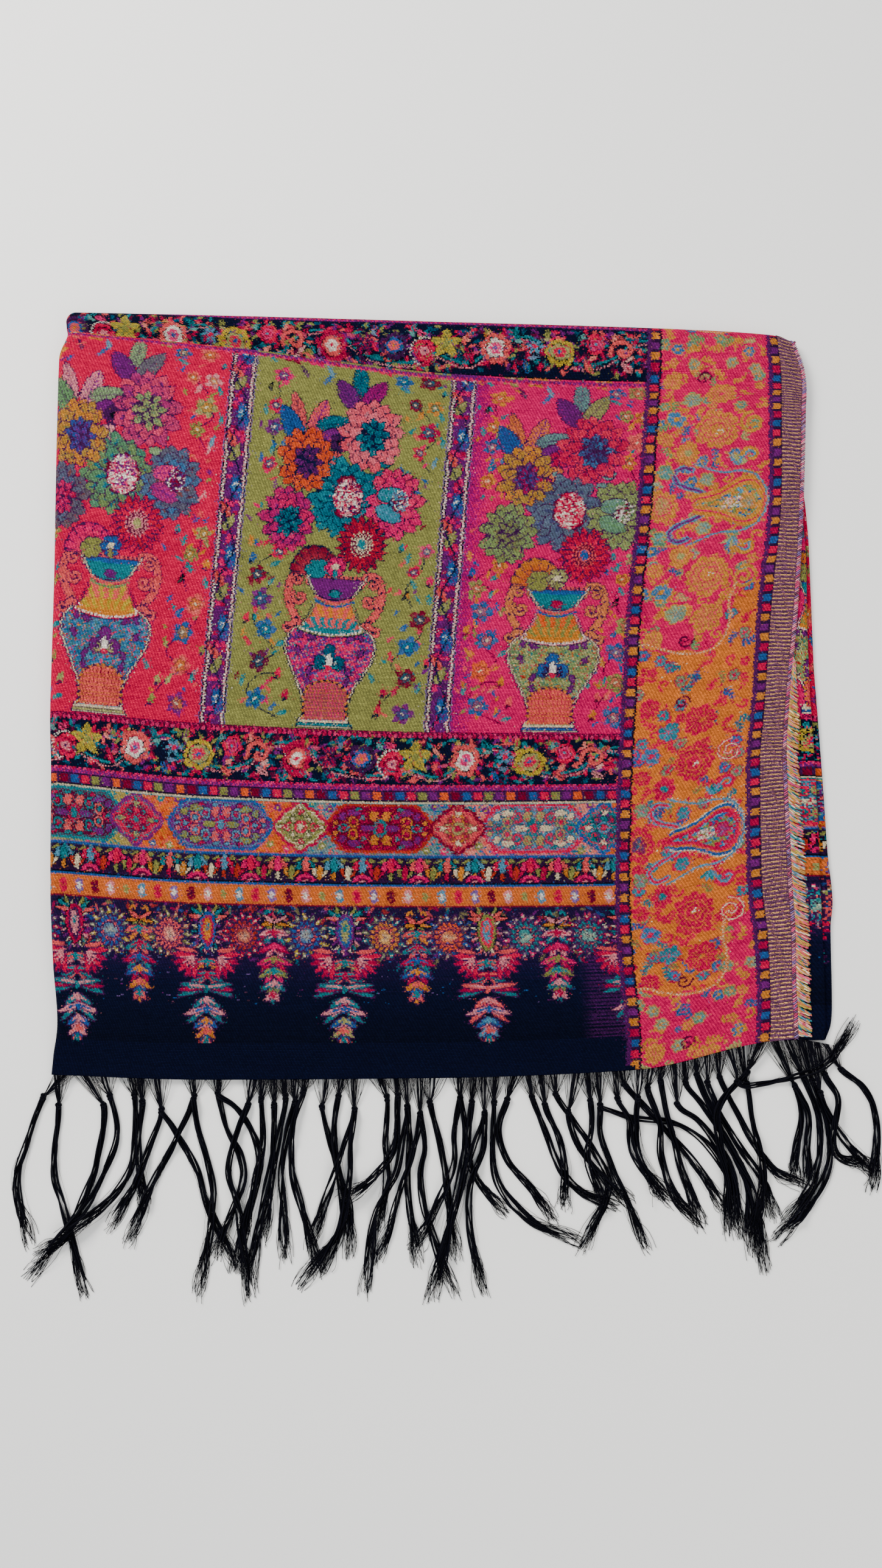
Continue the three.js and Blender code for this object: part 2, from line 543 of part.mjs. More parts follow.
add("palla_field", wall(clothSheet(FIELD_ACROSS, ALONG, true), WALL), 0x8c1f44);
add("side_border", wall(clothSheet(BORDER_ACROSS, ALONG, false), WALL), 0xc8502c);
add("selvage_band", wall(clothSheet(SELVAGE_ACROSS, ALONG, false), WALL), 0x8c6a5a, 0.6, 0.2);
add("yarn_edge", yarnEdge(), 0x9c8a66);
add("folded_layers", foldedLayers(), 0x3c2440);
add("second_layer", sideLayer(SECOND_EDGE, (under) => under * UNDER_BOTTOM + GAP / 2, (under) => under), 0x1c2038);
add("third_layer", sideLayer(THIRD_EDGE, () => 0, (under) => under * UNDER_BOTTOM - GAP / 2), 0x1c2038);

const strands = layFringe();
add("fringe_left", fringe(backing(-241, -80), strands.fringe_left), 0x0a0b12);
add("fringe_middle", fringe(backing(-76, 75), strands.fringe_middle), 0x0a0b12);
add("fringe_right", fringe(backing(79, 242), strands.fringe_right), 0x0a0b12);

export default shawl;
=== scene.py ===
# A folded kani shawl: the patterned face cloth with its side border and ribbed selvage, the
# layers under and beside it, and the knotted fringe. Lengths are in millimetres until a mesh
# is made of them. `across` runs from the left fold to the selvage, `along` from the hem up.
import math

import bmesh
import bpy
import numpy as np
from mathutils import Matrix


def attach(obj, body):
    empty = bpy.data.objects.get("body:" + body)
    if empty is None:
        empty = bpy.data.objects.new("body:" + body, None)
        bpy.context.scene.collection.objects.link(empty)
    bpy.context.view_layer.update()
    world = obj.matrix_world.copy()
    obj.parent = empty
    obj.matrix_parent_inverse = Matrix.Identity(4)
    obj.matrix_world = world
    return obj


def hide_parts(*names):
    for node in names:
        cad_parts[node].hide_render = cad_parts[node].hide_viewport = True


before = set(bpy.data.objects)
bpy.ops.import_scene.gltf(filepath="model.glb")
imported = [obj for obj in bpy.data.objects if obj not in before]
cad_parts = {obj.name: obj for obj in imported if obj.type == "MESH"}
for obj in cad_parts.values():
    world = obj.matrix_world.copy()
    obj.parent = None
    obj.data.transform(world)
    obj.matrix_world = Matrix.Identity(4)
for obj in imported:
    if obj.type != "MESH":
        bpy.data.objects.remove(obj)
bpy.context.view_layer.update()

MM = 0.001
SHIFT = np.array([-4.56, -5.69, 0.0])  # puts the middle of the whole outline on the origin
WALL = 1.2
FLOOR_CLEARANCE = 0.15
LOWEST = 0.05  # nothing of the cloth or the fringe lies lower than this

# Lines that run the length of the cloth, as distances from its left fold.
STRIP_ONE, STRIP_TWO, CHECK, EDGE_STRIP, SELVAGE = 116.0, 262.0, 383.0, 463.0, 481.0
LINES = np.array([0.0, STRIP_ONE, STRIP_TWO, CHECK, EDGE_STRIP, SELVAGE])

# Lines that run across it, as distances from the hem: the foot of the panels, the crease over
# them and the fold that rolls over the top.
PANEL_LOW, CREASE, TOP_FOLD = 222, 467, 497.0

# Distance from the hem, then the x, the y and the z where that line meets the six LINES.
ROWS = np.array([
    (0, -243, -147, -4, 121, 202, 221.5,
     -182, -185, -184, -179, -162, -160, 4.4, 4.2, 4.2, 4.2, 4.6, 5),
    (12, -242, -147, -4, 121, 203, 221.5,
     -170, -173, -172, -167, -150, -148, 6, 5.8, 5.8, 5.6, 5.6, 5.6),
    (30, -240, -147, -4, 120, 203, 221,
     -152, -154, -154, -150, -133, -131, 8.2, 8.4, 8.4, 8, 7.2, 6.4),
    (70, -244, -147, -4, 116.5, 202, 221.5,
     -111, -115, -116, -113, -97, -95, 10.6, 11, 11, 10.4, 9, 7.2),
    (108, -247, -147, -4, 115, 199, 220.5,
     -70, -76, -78, -77, -61, -58, 11.8, 12.2, 12.2, 11.6, 10, 7.4),
    (188, -250, -147.5, -4, 117.5, 200.5, 220,
     12, 3, -1, 0, 14, 16, 12.4, 12.8, 12.8, 12.2, 10.6, 7.4),
    (222, -252, -146.3, -2.7, 119.7, 204, 222.3,
     47, 38.5, 33, 32, 44, 46, 12.4, 13, 13, 12.4, 10.8, 7.4),
    (300, -253, -141, 3, 125.6, 211.4, 231,
     133, 122, 112, 109, 118, 119, 12.8, 13.2, 13.2, 12.6, 11, 7.4),
    (380, -255, -135.6, 9.6, 134.6, 221, 237.6,
     220, 206, 193, 188, 194, 195, 12.8, 13.2, 13.2, 12.6, 11, 7.6),
    (440, -256, -131.4, 14.5, 140.2, 223, 241,
     287, 271, 253, 248, 252, 252, 12.6, 12.8, 12.8, 12.4, 11, 7.8),
    (467, -251, -130, 16, 142, 223.5, 242,
     305, 293, 275, 270, 271, 270, 12, 11.4, 11, 11, 10.8, 8),
    (479, -251.5, -130.3, 16.5, 142.5, 223, 240.5,
     309, 300, 287, 283, 282, 282, 14, 15, 15.4, 14.6, 12.2, 8.6),
    (497, -252, -130.5, 17, 143, 222, 236,
     313.5, 310, 305, 301.7, 298.7, 296.5, 14, 15, 15.6, 14.6, 12.2, 8.6),
])
ALONGS = ROWS[:, 0]
ROLL_END = math.radians(160)


def bend(knots, values, at):
    """Cubic interpolation that never overshoots: values has one row, or one for each of at."""
    values = np.atleast_2d(np.asarray(values, float))
    width = np.diff(knots)
    secant = np.diff(values, axis=1) / width
    product = secant[:, :-1] * secant[:, 1:]
    total = secant[:, :-1] + secant[:, 1:]
    middle = np.where(product > 0, 2 * product / np.where(total == 0, 1, total), 0)
    slope = np.concatenate([secant[:, :1], middle, secant[:, -1:]], axis=1)
    i = np.clip(np.searchsorted(knots, at, side="right") - 1, 0, len(knots) - 2)
    t = np.clip((at - knots[i]) / width[i], 0, 1)
    row = np.arange(len(at)) if len(values) > 1 else 0
    t2, t3 = t * t, t * t * t
    return (
        (2 * t3 - 3 * t2 + 1) * values[row, i]
        + (t3 - 2 * t2 + t) * width[i] * slope[row, i]
        + (3 * t2 - 2 * t3) * values[row, i + 1]
        + (t3 - t2) * width[i] * slope[row, i + 1]
    )


def surface(across, along):
    """Points of the flat part of the face, as an N by 3 array."""
    across, along = (np.asarray(v, float).ravel() for v in np.broadcast_arrays(across, along))
    columns = [bend(ALONGS, column, along) for column in ROWS.T[1:]]
    x_lines, y_lines, z_lines = (np.stack(columns[k : k + 6], axis=1) for k in (0, 6, 12))
    x_lines[:, 0] += z_lines[:, 0] / 2
    x, y, z = (bend(LINES, lines, across) for lines in (x_lines, y_lines, z_lines))
    ripple = 0.35 * np.sin(x / 31 + y / 55) * np.sin(y / 43 - x / 90)
    edges = [along / 60, (SELVAGE - across) / 60, (across + 1) / 30, np.maximum(0, CREASE - along) / 40]
    calm = np.minimum.reduce([np.ones_like(x), *edges])
    return np.stack([x, y, z + ripple * calm], axis=1)


def face_points(across, along):
    """Points of the face with its rolled folds: left of 0 and above TOP_FOLD it curls down."""
    across, along = (np.asarray(v, float).ravel() for v in np.broadcast_arrays(across, along))
    start = surface(np.maximum(across, 0), np.minimum(along, TOP_FOLD))
    over_x, over_y = np.minimum(across, 0), np.maximum(along - TOP_FOLD, 0)
    distance = np.hypot(over_x, over_y)
    heading = np.arctan2(over_y, over_x)
    radius = start[:, 2] / 2
    angle = np.minimum(distance / radius, ROLL_END)
    out = radius * np.sin(angle)
    x, y = start[:, 0] + out * np.cos(heading), start[:, 1] + out * np.sin(heading)
    rolled = np.stack([x, y, radius + radius * np.cos(angle)], axis=1)
    points = np.where((distance > 0)[:, None], rolled, start)
    return points, distance / radius >= ROLL_END


def true_across(painted, along):
    """The left part of the pattern is woven wider than it lies, and narrower near the hem."""
    share = np.interp(along, [PANEL_LOW, CREASE], [0.858, 0.98])
    return np.where(painted < STRIP_ONE, STRIP_ONE - (STRIP_ONE - painted) / share, painted)


def new_mesh(name, points, faces, material, smooth=True):
    """A mesh object from points in millimetres and an array of triangles or of quads."""
    mesh = bpy.data.meshes.new(name)
    faces = np.asarray(faces, np.int32)
    sides = faces.shape[1]
    mesh.vertices.add(len(points))
    mesh.vertices.foreach_set("co", ((np.asarray(points) + SHIFT) * MM).astype(np.float32).ravel())
    mesh.loops.add(faces.size)
    mesh.loops.foreach_set("vertex_index", faces.ravel())
    mesh.polygons.add(len(faces))
    mesh.polygons.foreach_set("loop_start", np.arange(0, faces.size, sides, dtype=np.int32))
    mesh.update(calc_edges=True)
    mesh.polygons.foreach_set("use_smooth", np.full(len(faces), smooth))
    mesh.materials.append(material)
    piece = bpy.data.objects.new(name, mesh)
    bpy.context.scene.collection.objects.link(piece)
    return piece


def set_weave(piece, coordinates):
    """Keeps where each vertex is on the flat cloth, in millimetres, for the material's weave."""
    attribute = piece.data.attributes.new("cloth", "FLOAT_VECTOR", "POINT")
    flat = np.zeros((len(coordinates), 3), np.float32)
    flat[:, : coordinates.shape[1]] = coordinates
    attribute.data.foreach_set("vector", flat.ravel())


def set_colours(piece, colours):
    """Paints each face corner with an sRGB colour whose fourth value is its metal thread."""
    attribute = piece.data.color_attributes.new("dye", "BYTE_COLOR", "CORNER")
    attribute.data.foreach_set("color_srgb", np.clip(colours, 0, 1).astype(np.float32).ravel())


def grid_faces(rows, columns):
    """Quads of a grid of rows by columns points, seen from above when rows go up the cloth."""
    first = np.arange((rows - 1) * columns).reshape(rows - 1, columns)[:, :-1].ravel()
    return np.stack([first, first + 1, first + 1 + columns, first + columns], axis=1)


def tubes(paths, radii, sides):
    """Closed tubes along paths of equal length, N by K by 3. Radii: one, K or N by K of them."""
    count, steps, _ = paths.shape
    radii = np.broadcast_to(radii, (count, steps))
    ahead = np.gradient(paths, axis=1)
    ahead /= np.maximum(np.linalg.norm(ahead, axis=2, keepdims=True), 1e-9)
    side = np.cross(ahead, [0.0, 0.0, 1.0])
    side /= np.maximum(np.linalg.norm(side, axis=2, keepdims=True), 1e-6)
    up = np.cross(side, ahead)
    turn = (np.arange(sides) / sides * 2 * math.pi)[:, None]
    ring = side[:, :, None] * np.cos(turn) + up[:, :, None] * np.sin(turn)
    points = (paths[:, :, None] + ring * radii[:, :, None, None]).reshape(-1, 3)
    i = np.arange(sides)
    j = (i + 1) % sides
    quad = np.stack([i, i + sides, j + sides, j], axis=1)
    walls = (quad[None] + np.arange(steps - 1)[:, None, None] * sides).reshape(-1, 4)
    start = np.array([[0, k, k + 1] for k in range(1, sides - 1)])
    end = start[:, [0, 2, 1]] + (steps - 1) * sides
    one = np.concatenate([walls[:, [0, 1, 2]], walls[:, [0, 2, 3]], start, end])
    faces = (one[None] + np.arange(count)[:, None, None] * steps * sides).reshape(-1, 3)
    return points, faces


def joined(parts):
    """One list of points and faces from several."""
    points, faces, offset = [], [], 0
    for part_points, part_faces in parts:
        points.append(part_points)
        faces.append(part_faces + offset)
        offset += len(part_points)
    return np.concatenate(points), np.concatenate(faces)


# The fringe: for each tassel the x where it leaves the hem, its knot, and its one or two strands.
TASSELS = {
    "fringe_left": [
        (-235, (-248, -196), [(-257, -225), (-262, -248), (-254, -277)]),
        (-240, (-238, -202), [(-239, -240), (-232, -262), (-219, -306)]),
        (-222, (-210, -201), [(-212, -230), (-218, -252), (-230, -278), (-242, -287)]),
        (-210, (-206, -196), [(-201, -218), (-208, -240), (-220, -264), (-247, -297)]),
        (-193, (-191, -195), [(-190, -220), (-193, -242), (-208, -262), (-228, -276)]),
        (-187, (-186, -198), [(-187, -225), (-184, -257)]),
        (-177, (-174, -204), [(-180, -225), (-187, -246), (-200, -269)],
         [(-162, -221), (-151, -240), (-143, -262), (-128, -291)]),
        (-154, (-154, -196), [(-163, -219), (-174, -240), (-190, -276)],
         [(-151, -216), (-144, -236), (-140, -262), (-147, -305)]),
        (-139, (-139, -194), [(-133, -215), (-124, -232), (-123, -250), (-137, -286)],
         [(-126, -204), (-115, -222), (-112, -240), (-118, -262), (-125, -292)]),
        (-117, (-120, -200), [(-128, -222), (-131, -242), (-124, -264), (-118, -307)]),
        (-110, (-112, -198), [(-110, -225), (-115, -250), (-121, -274)]),
        (-104, (-104, -201), [(-104, -225), (-107, -250), (-116, -298)]),
        (-98, (-97, -196), [(-100, -220), (-104, -246), (-108, -276)]),
        (-91, (-91, -199), [(-96, -220), (-98, -244), (-96, -287)]),
        (-84, (-86, -193), [(-92, -214), (-92, -240), (-85, -265), (-77, -293)]),
    ],
    "fringe_middle": [
        (-71, (-74, -202), [(-69, -222), (-62, -245), (-61, -272), (-69, -294)]),
        (-62, (-64, -196), [(-66, -212), (-64, -235), (-57, -260), (-56, -283)]),
        (-54, (-54, -204), [(-60, -225), (-66, -245), (-79, -279)],
         [(-56, -228), (-57, -250), (-63, -275), (-82, -302)]),
        (-38, (-33.5, -197), [(-34, -222), (-33, -246), (-38, -270)]),
        (-28, (-27, -196), [(-28, -224), (-38, -241), (-56, -254)]),
        (-22, (-21, -202), [(-24, -222), (-28, -243), (-40, -265), (-45, -305)],
         [(-19, -225), (-20, -250), (-16, -288)]),
        (-13, (-13, -207), [(-17, -230), (-25, -252), (-37, -289)],
         [(-10, -226), (-13, -245), (-8, -270), (5, -305)]),
        (-5, (-7, -199), [(0, -226), (4, -248), (8, -285)]),
        (12, (12, -196), [(8, -218), (8, -238), (-3, -262), (-13, -280)],
         [(15, -218), (12, -245), (5, -272), (-4, -309)]),
        (20, (19, -200), [(17, -226), (22, -244), (37, -262)]),
        (27, (27, -206), [(20, -226), (14, -246), (6, -272), (0, -298)],
         [(26, -227), (18, -250), (18, -272), (24, -305)]),
        (34, (33, -199), [(32, -232), (38, -252), (56, -270), (77, -280)]),
        (46, (41, -198), [(36, -216), (42, -234), (55, -249), (66, -265)]),
        (54, (57, -197), [(66, -219), (75, -240), (86, -252), (104, -260)]),
        (62, (65, -202), [(73, -219), (77, -238), (76, -258)]),
        (70, (72, -195), [(84, -212), (96, -229), (104, -250), (90, -281)]),
    ],
    "fringe_right": [
        (84, (79, -205), [(86, -226), (99, -242), (113, -257)]),
        (91, (93, -198), [(94, -214), (91, -232), (99, -258)]),
        (98, (99, -202), [(99, -219), (106, -238), (114, -257), (124, -282)],
         [(118, -208), (143, -211), (163, -222), (178, -243), (180, -262)]),
        (113, (115, -189), [(127, -202), (142, -218), (158, -236), (172, -259)]),
        (108, (110, -197), [(117, -210), (119, -228), (130, -245), (140, -256)]),
        (124, (122, -197), [(121, -213), (123, -231), (134, -253)]),
        (131, (129, -191), [(135, -210), (137, -232), (145, -256), (156, -269)]),
        (138, (137, -187), [(141, -207), (148, -235), (158, -266)]),
        (145, (147, -200), [(160, -210), (171, -224), (181, -243), (184, -272)]),
        (152, (153, -188), [(164, -202), (177, -222), (189, -245), (190, -281)]),
        (159, (160, -183), [(169, -205), (180, -228), (193, -256), (197, -292)]),
        (166, (166, -187), [(174, -207), (187, -228), (199, -245), (204, -263)]),
        (173, (174, -184), [(184, -204), (196, -226), (207, -240), (219, -246)]),
        (187, (191, -189), [(194, -212), (198, -232), (198, -252), (193, -274)]),
        (200, (190, -181), [(172, -202), (173, -226), (177, -246), (177, -270)]),
        (208, (221, -190), [(224, -208), (221, -226), (218, -241)],
         [(229, -208), (227, -228), (227, -246)]),
        (216, (226, -183), [(235, -208), (235, -230), (228, -250), (217, -266)]),
        (224, (232, -187), [(240, -213), (240, -236), (229, -258), (211, -276)]),
        (230, (236, -194), [(243, -210), (253, -225), (263, -237)]),
        (235, (240, -183), [(247, -196), (244, -214), (246, -231), (261, -236)]),
        (240, (250, -179), [(263, -189), (270, -203), (271, -222), (267, -246)]),
        (180, (185, -187), [(203, -187), (222, -182), (241, -174), (256, -155)]),
    ],
}
STRAND_STEP = 1.6  # between the points of a yarn
STRAND_RADIUS = 1.15
STEEPEST = 0.3  # rise over run of a strand that climbs over another
HEM = surface(np.arange(0, SELVAGE + 0.25, 0.5), 0)


def hem_point(x):
    """The point of the hem at that x. Past the selvage it goes on along the side layers."""
    if x > HEM[-1, 0]:
        return np.array([x, HEM[-1, 1] - (x - HEM[-1, 0]) * 0.19, HEM[-1, 2]])
    return np.array([np.interp(x, HEM[:, 0], HEM[:, k]) for k in range(3)])


def smooth_path(points, step):
    """Points along a rounded line through the given ones, `step` apart."""
    points = np.asarray(points, float)
    ends = np.vstack([2 * points[0] - points[1], points, 2 * points[-1] - points[-2]])
    pieces = []
    for p0, p1, p2, p3 in zip(ends, ends[1:], ends[2:], ends[3:]):
        t = np.linspace(0, 1, 24, endpoint=False)[:, None]
        square = 2 * p0 - 5 * p1 + 4 * p2 - p3
        cube = 3 * p1 - p0 - 3 * p2 + p3
        pieces.append(0.5 * (2 * p1 + (p2 - p0) * t + square * t**2 + cube * t**3))
    fine = np.vstack(pieces + [points[-1:]])
    length = np.concatenate([[0], np.cumsum(np.linalg.norm(np.diff(fine, axis=0), axis=1))])
    at = np.linspace(0, length[-1], max(4, int(length[-1] / step)))
    return np.stack([np.interp(at, length, fine[:, k]) for k in range(fine.shape[1])], axis=1)


class Pile:
    """How high the fringe already lies over the floor, on a 1 mm grid."""

    LEFT, LOW = -290, -330
    ROWS, COLUMNS = 200, 600

    def __init__(self):
        self.high = np.zeros((self.ROWS, self.COLUMNS))

    def cells(self, plan):
        """Rows and columns of the nine cells round each point."""
        near = np.arange(-1, 2)
        columns = np.round(plan[:, 0] - self.LEFT).astype(int)[:, None, None] + near[None, None, :]
        rows = np.round(plan[:, 1] - self.LOW).astype(int)[:, None, None] + near[None, :, None]
        return np.clip(rows, 0, self.ROWS - 1), np.clip(columns, 0, self.COLUMNS - 1)

    def lay(self, plan, start):
        """Heights of a strand that rests on what is there, and its own place on the pile."""
        rows, columns = self.cells(plan)
        heights = self.high[rows, columns].max(axis=(1, 2)) + STRAND_RADIUS + FLOOR_CLEARANCE
        heights[0] = start
        step = np.linalg.norm(np.diff(plan, axis=0), axis=1) * STEEPEST
        for i in range(len(step)):
            heights[i + 1] = max(heights[i + 1], heights[i] - step[i])
        for i in reversed(range(1, len(step))):
            heights[i] = max(heights[i], heights[i + 1] - step[i])
        beyond_knot = slice(6, None)
        rows, columns = np.broadcast_arrays(rows[beyond_knot], columns[beyond_knot])
        top = np.broadcast_to((heights[beyond_knot] + STRAND_RADIUS * 0.8)[:, None, None], rows.shape)
        np.maximum.at(self.high, (rows, columns), top)
        return heights


def wander(rng, steps, waves, size):
    """Smooth random offsets in x and y that grow from nothing at the first point."""
    t = np.linspace(0, 1, steps)
    phase = rng.uniform(0, 2 * math.pi, (2, waves, 1))
    rate = rng.uniform(0.4, 1, (2, waves, 1)) * (1 + np.arange(waves))[None, :, None] * math.pi
    sway = (np.sin(rate * t + phase) - np.sin(phase)).sum(axis=1) / waves
    return sway.T * size


def yarns(path, rng, count=6, spread=1.3):
    """The yarns of one strand, turning slowly about its line."""
    steps = len(path)
    t = np.linspace(0, 1, steps)
    ahead = np.gradient(path[:, :2], axis=0)
    side = np.stack([ahead[:, 1], -ahead[:, 0]], axis=1)
    side /= np.maximum(np.linalg.norm(side, axis=1, keepdims=True), 1e-6)
    length = steps * STRAND_STEP
    made = []
    for k in range(count):
        angle = 2 * math.pi * (k / count + t * length / rng.uniform(90, 170)) + rng.uniform(0, 1)
        loose = spread * (1 + 1.1 * t**2 + 0.5 * np.sin(t * rng.uniform(5, 9) + k))
        offset = side * (np.cos(angle) * loose)[:, None]
        made.append(np.column_stack([path[:, :2] + offset, path[:, 2] + np.sin(angle) * spread * 0.55]))
    return np.array(made)


def hairs_from(path, rng, count, steps, size, reach=(0.55, 1.0), start=(0.0, 0.5)):
    """Loose fibres that leave the strand somewhere along it and wander beside it."""
    made = []
    for _ in range(count):
        first = rng.uniform(*start)
        last = min(1.08, first + rng.uniform(*reach) * (1 - first) + 0.06)
        t = np.linspace(first, last, steps)
        place = np.clip(t, 0, 1) * (len(path) - 1)
        line = np.stack([np.interp(place, np.arange(len(path)), path[:, k]) for k in range(3)], axis=1)
        tip = path[-1] - path[-4]
        tip /= np.linalg.norm(tip)
        beyond = np.maximum(t - 1, 0) * len(path) * STRAND_STEP
        line += tip[None] * beyond[:, None]
        line[:, :2] += wander(rng, steps, 2, size)
        line[:, 2] += rng.uniform(-0.5, 0.9) * np.sin(np.linspace(0, math.pi, steps))
        line[:, 2] = np.maximum(line[:, 2] * np.linspace(1, 0.6, steps), 0.12)
        made.append(line)
    return np.array(made)


def root_hairs(hem, knot, rng, count, width):
    """The warp ends that gather from the hem into a knot."""
    steps = 7
    starts = np.linspace(-1, 1, count) * width + rng.normal(0, 0.5, count)
    t = np.linspace(0, 1, steps)
    made = []
    for start in starts:
        first = hem_point(hem[0] + start)
        first = np.array([first[0], first[1] + 0.6, first[2] - rng.uniform(0.1, 1.0)])
        line = first[None] * (1 - t)[:, None] + knot[None] * t[:, None]
        pull = np.sin(t * math.pi) * rng.uniform(-0.5, 1.4)
        line[:, 0] += pull * np.sign(start) * 0.6
        line[:, 1] -= pull
        line[:, 2] = first[2] * (1 - t) ** 1.4 + knot[2] * (1 - (1 - t) ** 1.4)
        made.append(line)
    return np.array(made)


def knot_path(centre, ahead, rng, size=1.25, steps=26):
    """A small overhand knot, pulled tight across the strand."""
    t = np.linspace(0, 2 * math.pi, steps)
    turn = rng.uniform(0, 2 * math.pi)
    u = (2 + np.cos(3 * t + turn)) * np.cos(2 * t) * size * 0.42
    v = (2 + np.cos(3 * t + turn)) * np.sin(2 * t) * size * 0.42
    w = np.sin(3 * t + turn) * size * 0.5
    side = np.array([ahead[1], -ahead[0]])
    plan = centre[None, :2] + u[:, None] * ahead[None] + v[:, None] * side[None]
    return np.column_stack([plan, np.maximum(centre[2] + w + 0.3, 0.9)])


def knot_parts(hem, centre, ahead, rng):
    """Two knots side by side, and the warp ends that gather from the hem into them."""
    parts = []
    for shift, size in ((-0.9, 1.35), (1.2, 1.15)):
        moved = centre + np.array([*(ahead * shift), 0.15])
        parts.append(tubes(knot_path(moved, ahead, rng, size)[None], 0.62, 6))
    parts.append(tubes(root_hairs(hem, centre, rng, 22, rng.uniform(6.5, 10)), 0.14, 3))
    parts.append(tubes(root_hairs(hem, centre, rng, 7, 1.6), 0.34, 4))
    return parts


def strand_parts(body, rng):
    """The yarns of one strand from its knot on, its loose hairs and the brush at its cut end."""
    left = 1.02 - np.linspace(0, 1, len(body))
    width = 0.64 * np.minimum(1, np.maximum(0.15, left * 7))
    return [
        tubes(yarns(body, rng), width, 3),
        tubes(hairs_from(body, rng, 7, 10, rng.uniform(1.4, 3.2)), 0.1, 3),
        tubes(hairs_from(body, rng, 20, 7, 3.0, reach=(1.0, 1.12), start=(0.66, 0.86)), 0.19, 3),
    ]


def tassel_parts(root, knot, strands, pile, rng):
    """All the yarns and hairs of one tassel, as lists of points and faces."""
    hem = hem_point(root)
    start = [hem[0], hem[1] - 1.3]
    height = hem[2] - 0.7
    parts = []
    for points in strands:
        line = [knot, *points] if parts else [start, knot, *points]
        plan = smooth_path(line, STRAND_STEP)
        path = np.column_stack([plan, pile.lay(plan, height)])
        knot_at = int(np.argmin(np.linalg.norm(plan - np.array(knot), axis=1)))
        if not parts:
            ahead = plan[knot_at + 2] - plan[knot_at - 1]
            parts += knot_parts(hem, path[knot_at], ahead / np.linalg.norm(ahead), rng)
            height = path[knot_at, 2]
        parts += strand_parts(path[knot_at:], rng)
    return parts


def make_fringe(material):
    """One piece for each third of the fringe."""
    pile = Pile()
    rng = np.random.default_rng(11)
    made = []
    for node, tassels in TASSELS.items():
        parts = []
        for root, knot, *strands in tassels:
            parts += tassel_parts(root, knot, strands, pile, rng)
        points, faces = joined(parts)
        points[:, 2] = np.maximum(points[:, 2], LOWEST)
        piece = new_mesh(node.replace("fringe", "tassels"), points, faces, material)
        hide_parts(node)
        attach(piece, "root")
        made.append(piece)
    return made


# Colours of the yarns, as sRGB.
INKS = {
    "red": (180, 0, 68), "magenta": (186, 0, 90), "crimson": (150, 2, 62), "pink": (196, 60, 108),
    "rose": (206, 134, 140), "salmon": (200, 88, 88), "orange": (196, 88, 50), "ochre": (184, 118, 54),
    "gold": (178, 134, 70), "yellow": (168, 146, 62), "olive": (122, 122, 72), "lime": (144, 142, 96),
    "green": (94, 126, 88), "teal": (26, 106, 114), "deep": (12, 68, 88), "blue": (38, 78, 128),
    "sky": (84, 128, 150), "lilac": (116, 92, 142), "purple": (98, 30, 98), "plum": (56, 20, 62),
    "wine": (78, 12, 46), "maroon": (100, 12, 40), "navy": (12, 16, 44), "ink": (5, 7, 18),
    "cream": (214, 198, 168), "white": (230, 220, 208), "brown": (108, 68, 62), "rust": (150, 50, 40),
    "mauve": (92, 56, 76),
}


def ink(name):
    """One of the INKS, with values from 0 to 1."""
    return np.array(INKS[name], float) / 255


class Nodes:
    """A new material, and short ways to add nodes to it."""

    def __init__(self, name):
        self.material = bpy.data.materials.new(name)
        self.material.use_nodes = True
        self.tree = self.material.node_tree
        self.tree.nodes.clear()

    def add(self, kind, inputs=(), **settings):
        """One node. Each input is a value, or the socket of another node."""
        made = self.tree.nodes.new("ShaderNode" + kind)
        for name, value in settings.items():
            setattr(made, name, value)
        for name, value in dict(inputs).items():
            if isinstance(value, bpy.types.NodeSocket):
                self.tree.links.new(value, made.inputs[name])
            else:
                made.inputs[name].default_value = value
        return made

    def maths(self, operation, *values):
        """A calculation with one, two or three numbers or sockets."""
        return self.add("Math", dict(enumerate(values)), operation=operation).outputs[0]

    def noise(self, place, scale, detail=2.0):
        """A cloudy value about one half."""
        return self.add("TexNoise", {"Vector": place, "Scale": scale, "Detail": detail}).outputs[0]

    def scaled(self, colour, factor):
        """A colour made brighter or darker by a number."""
        return self.add("VectorMath", {0: colour, "Scale": factor}, operation="SCALE").outputs[0]

    def finish(self, bump, **inputs):
        """The bump from its strength, distance and height, the surface shader and the output."""
        bump = self.add("Bump", dict(zip(("Strength", "Distance", "Height"), bump)))
        inputs = {name.replace("_", " "): value for name, value in inputs.items()}
        shader = self.add("BsdfPrincipled", {**inputs, "Normal": bump.outputs[0]})
        self.add("OutputMaterial", {0: shader.outputs[0]})
        return self.material


STITCH, ROW_PITCH = 1.9, 0.95  # length of one stitch of the twill, and from row to row
RELIEF = 0.6


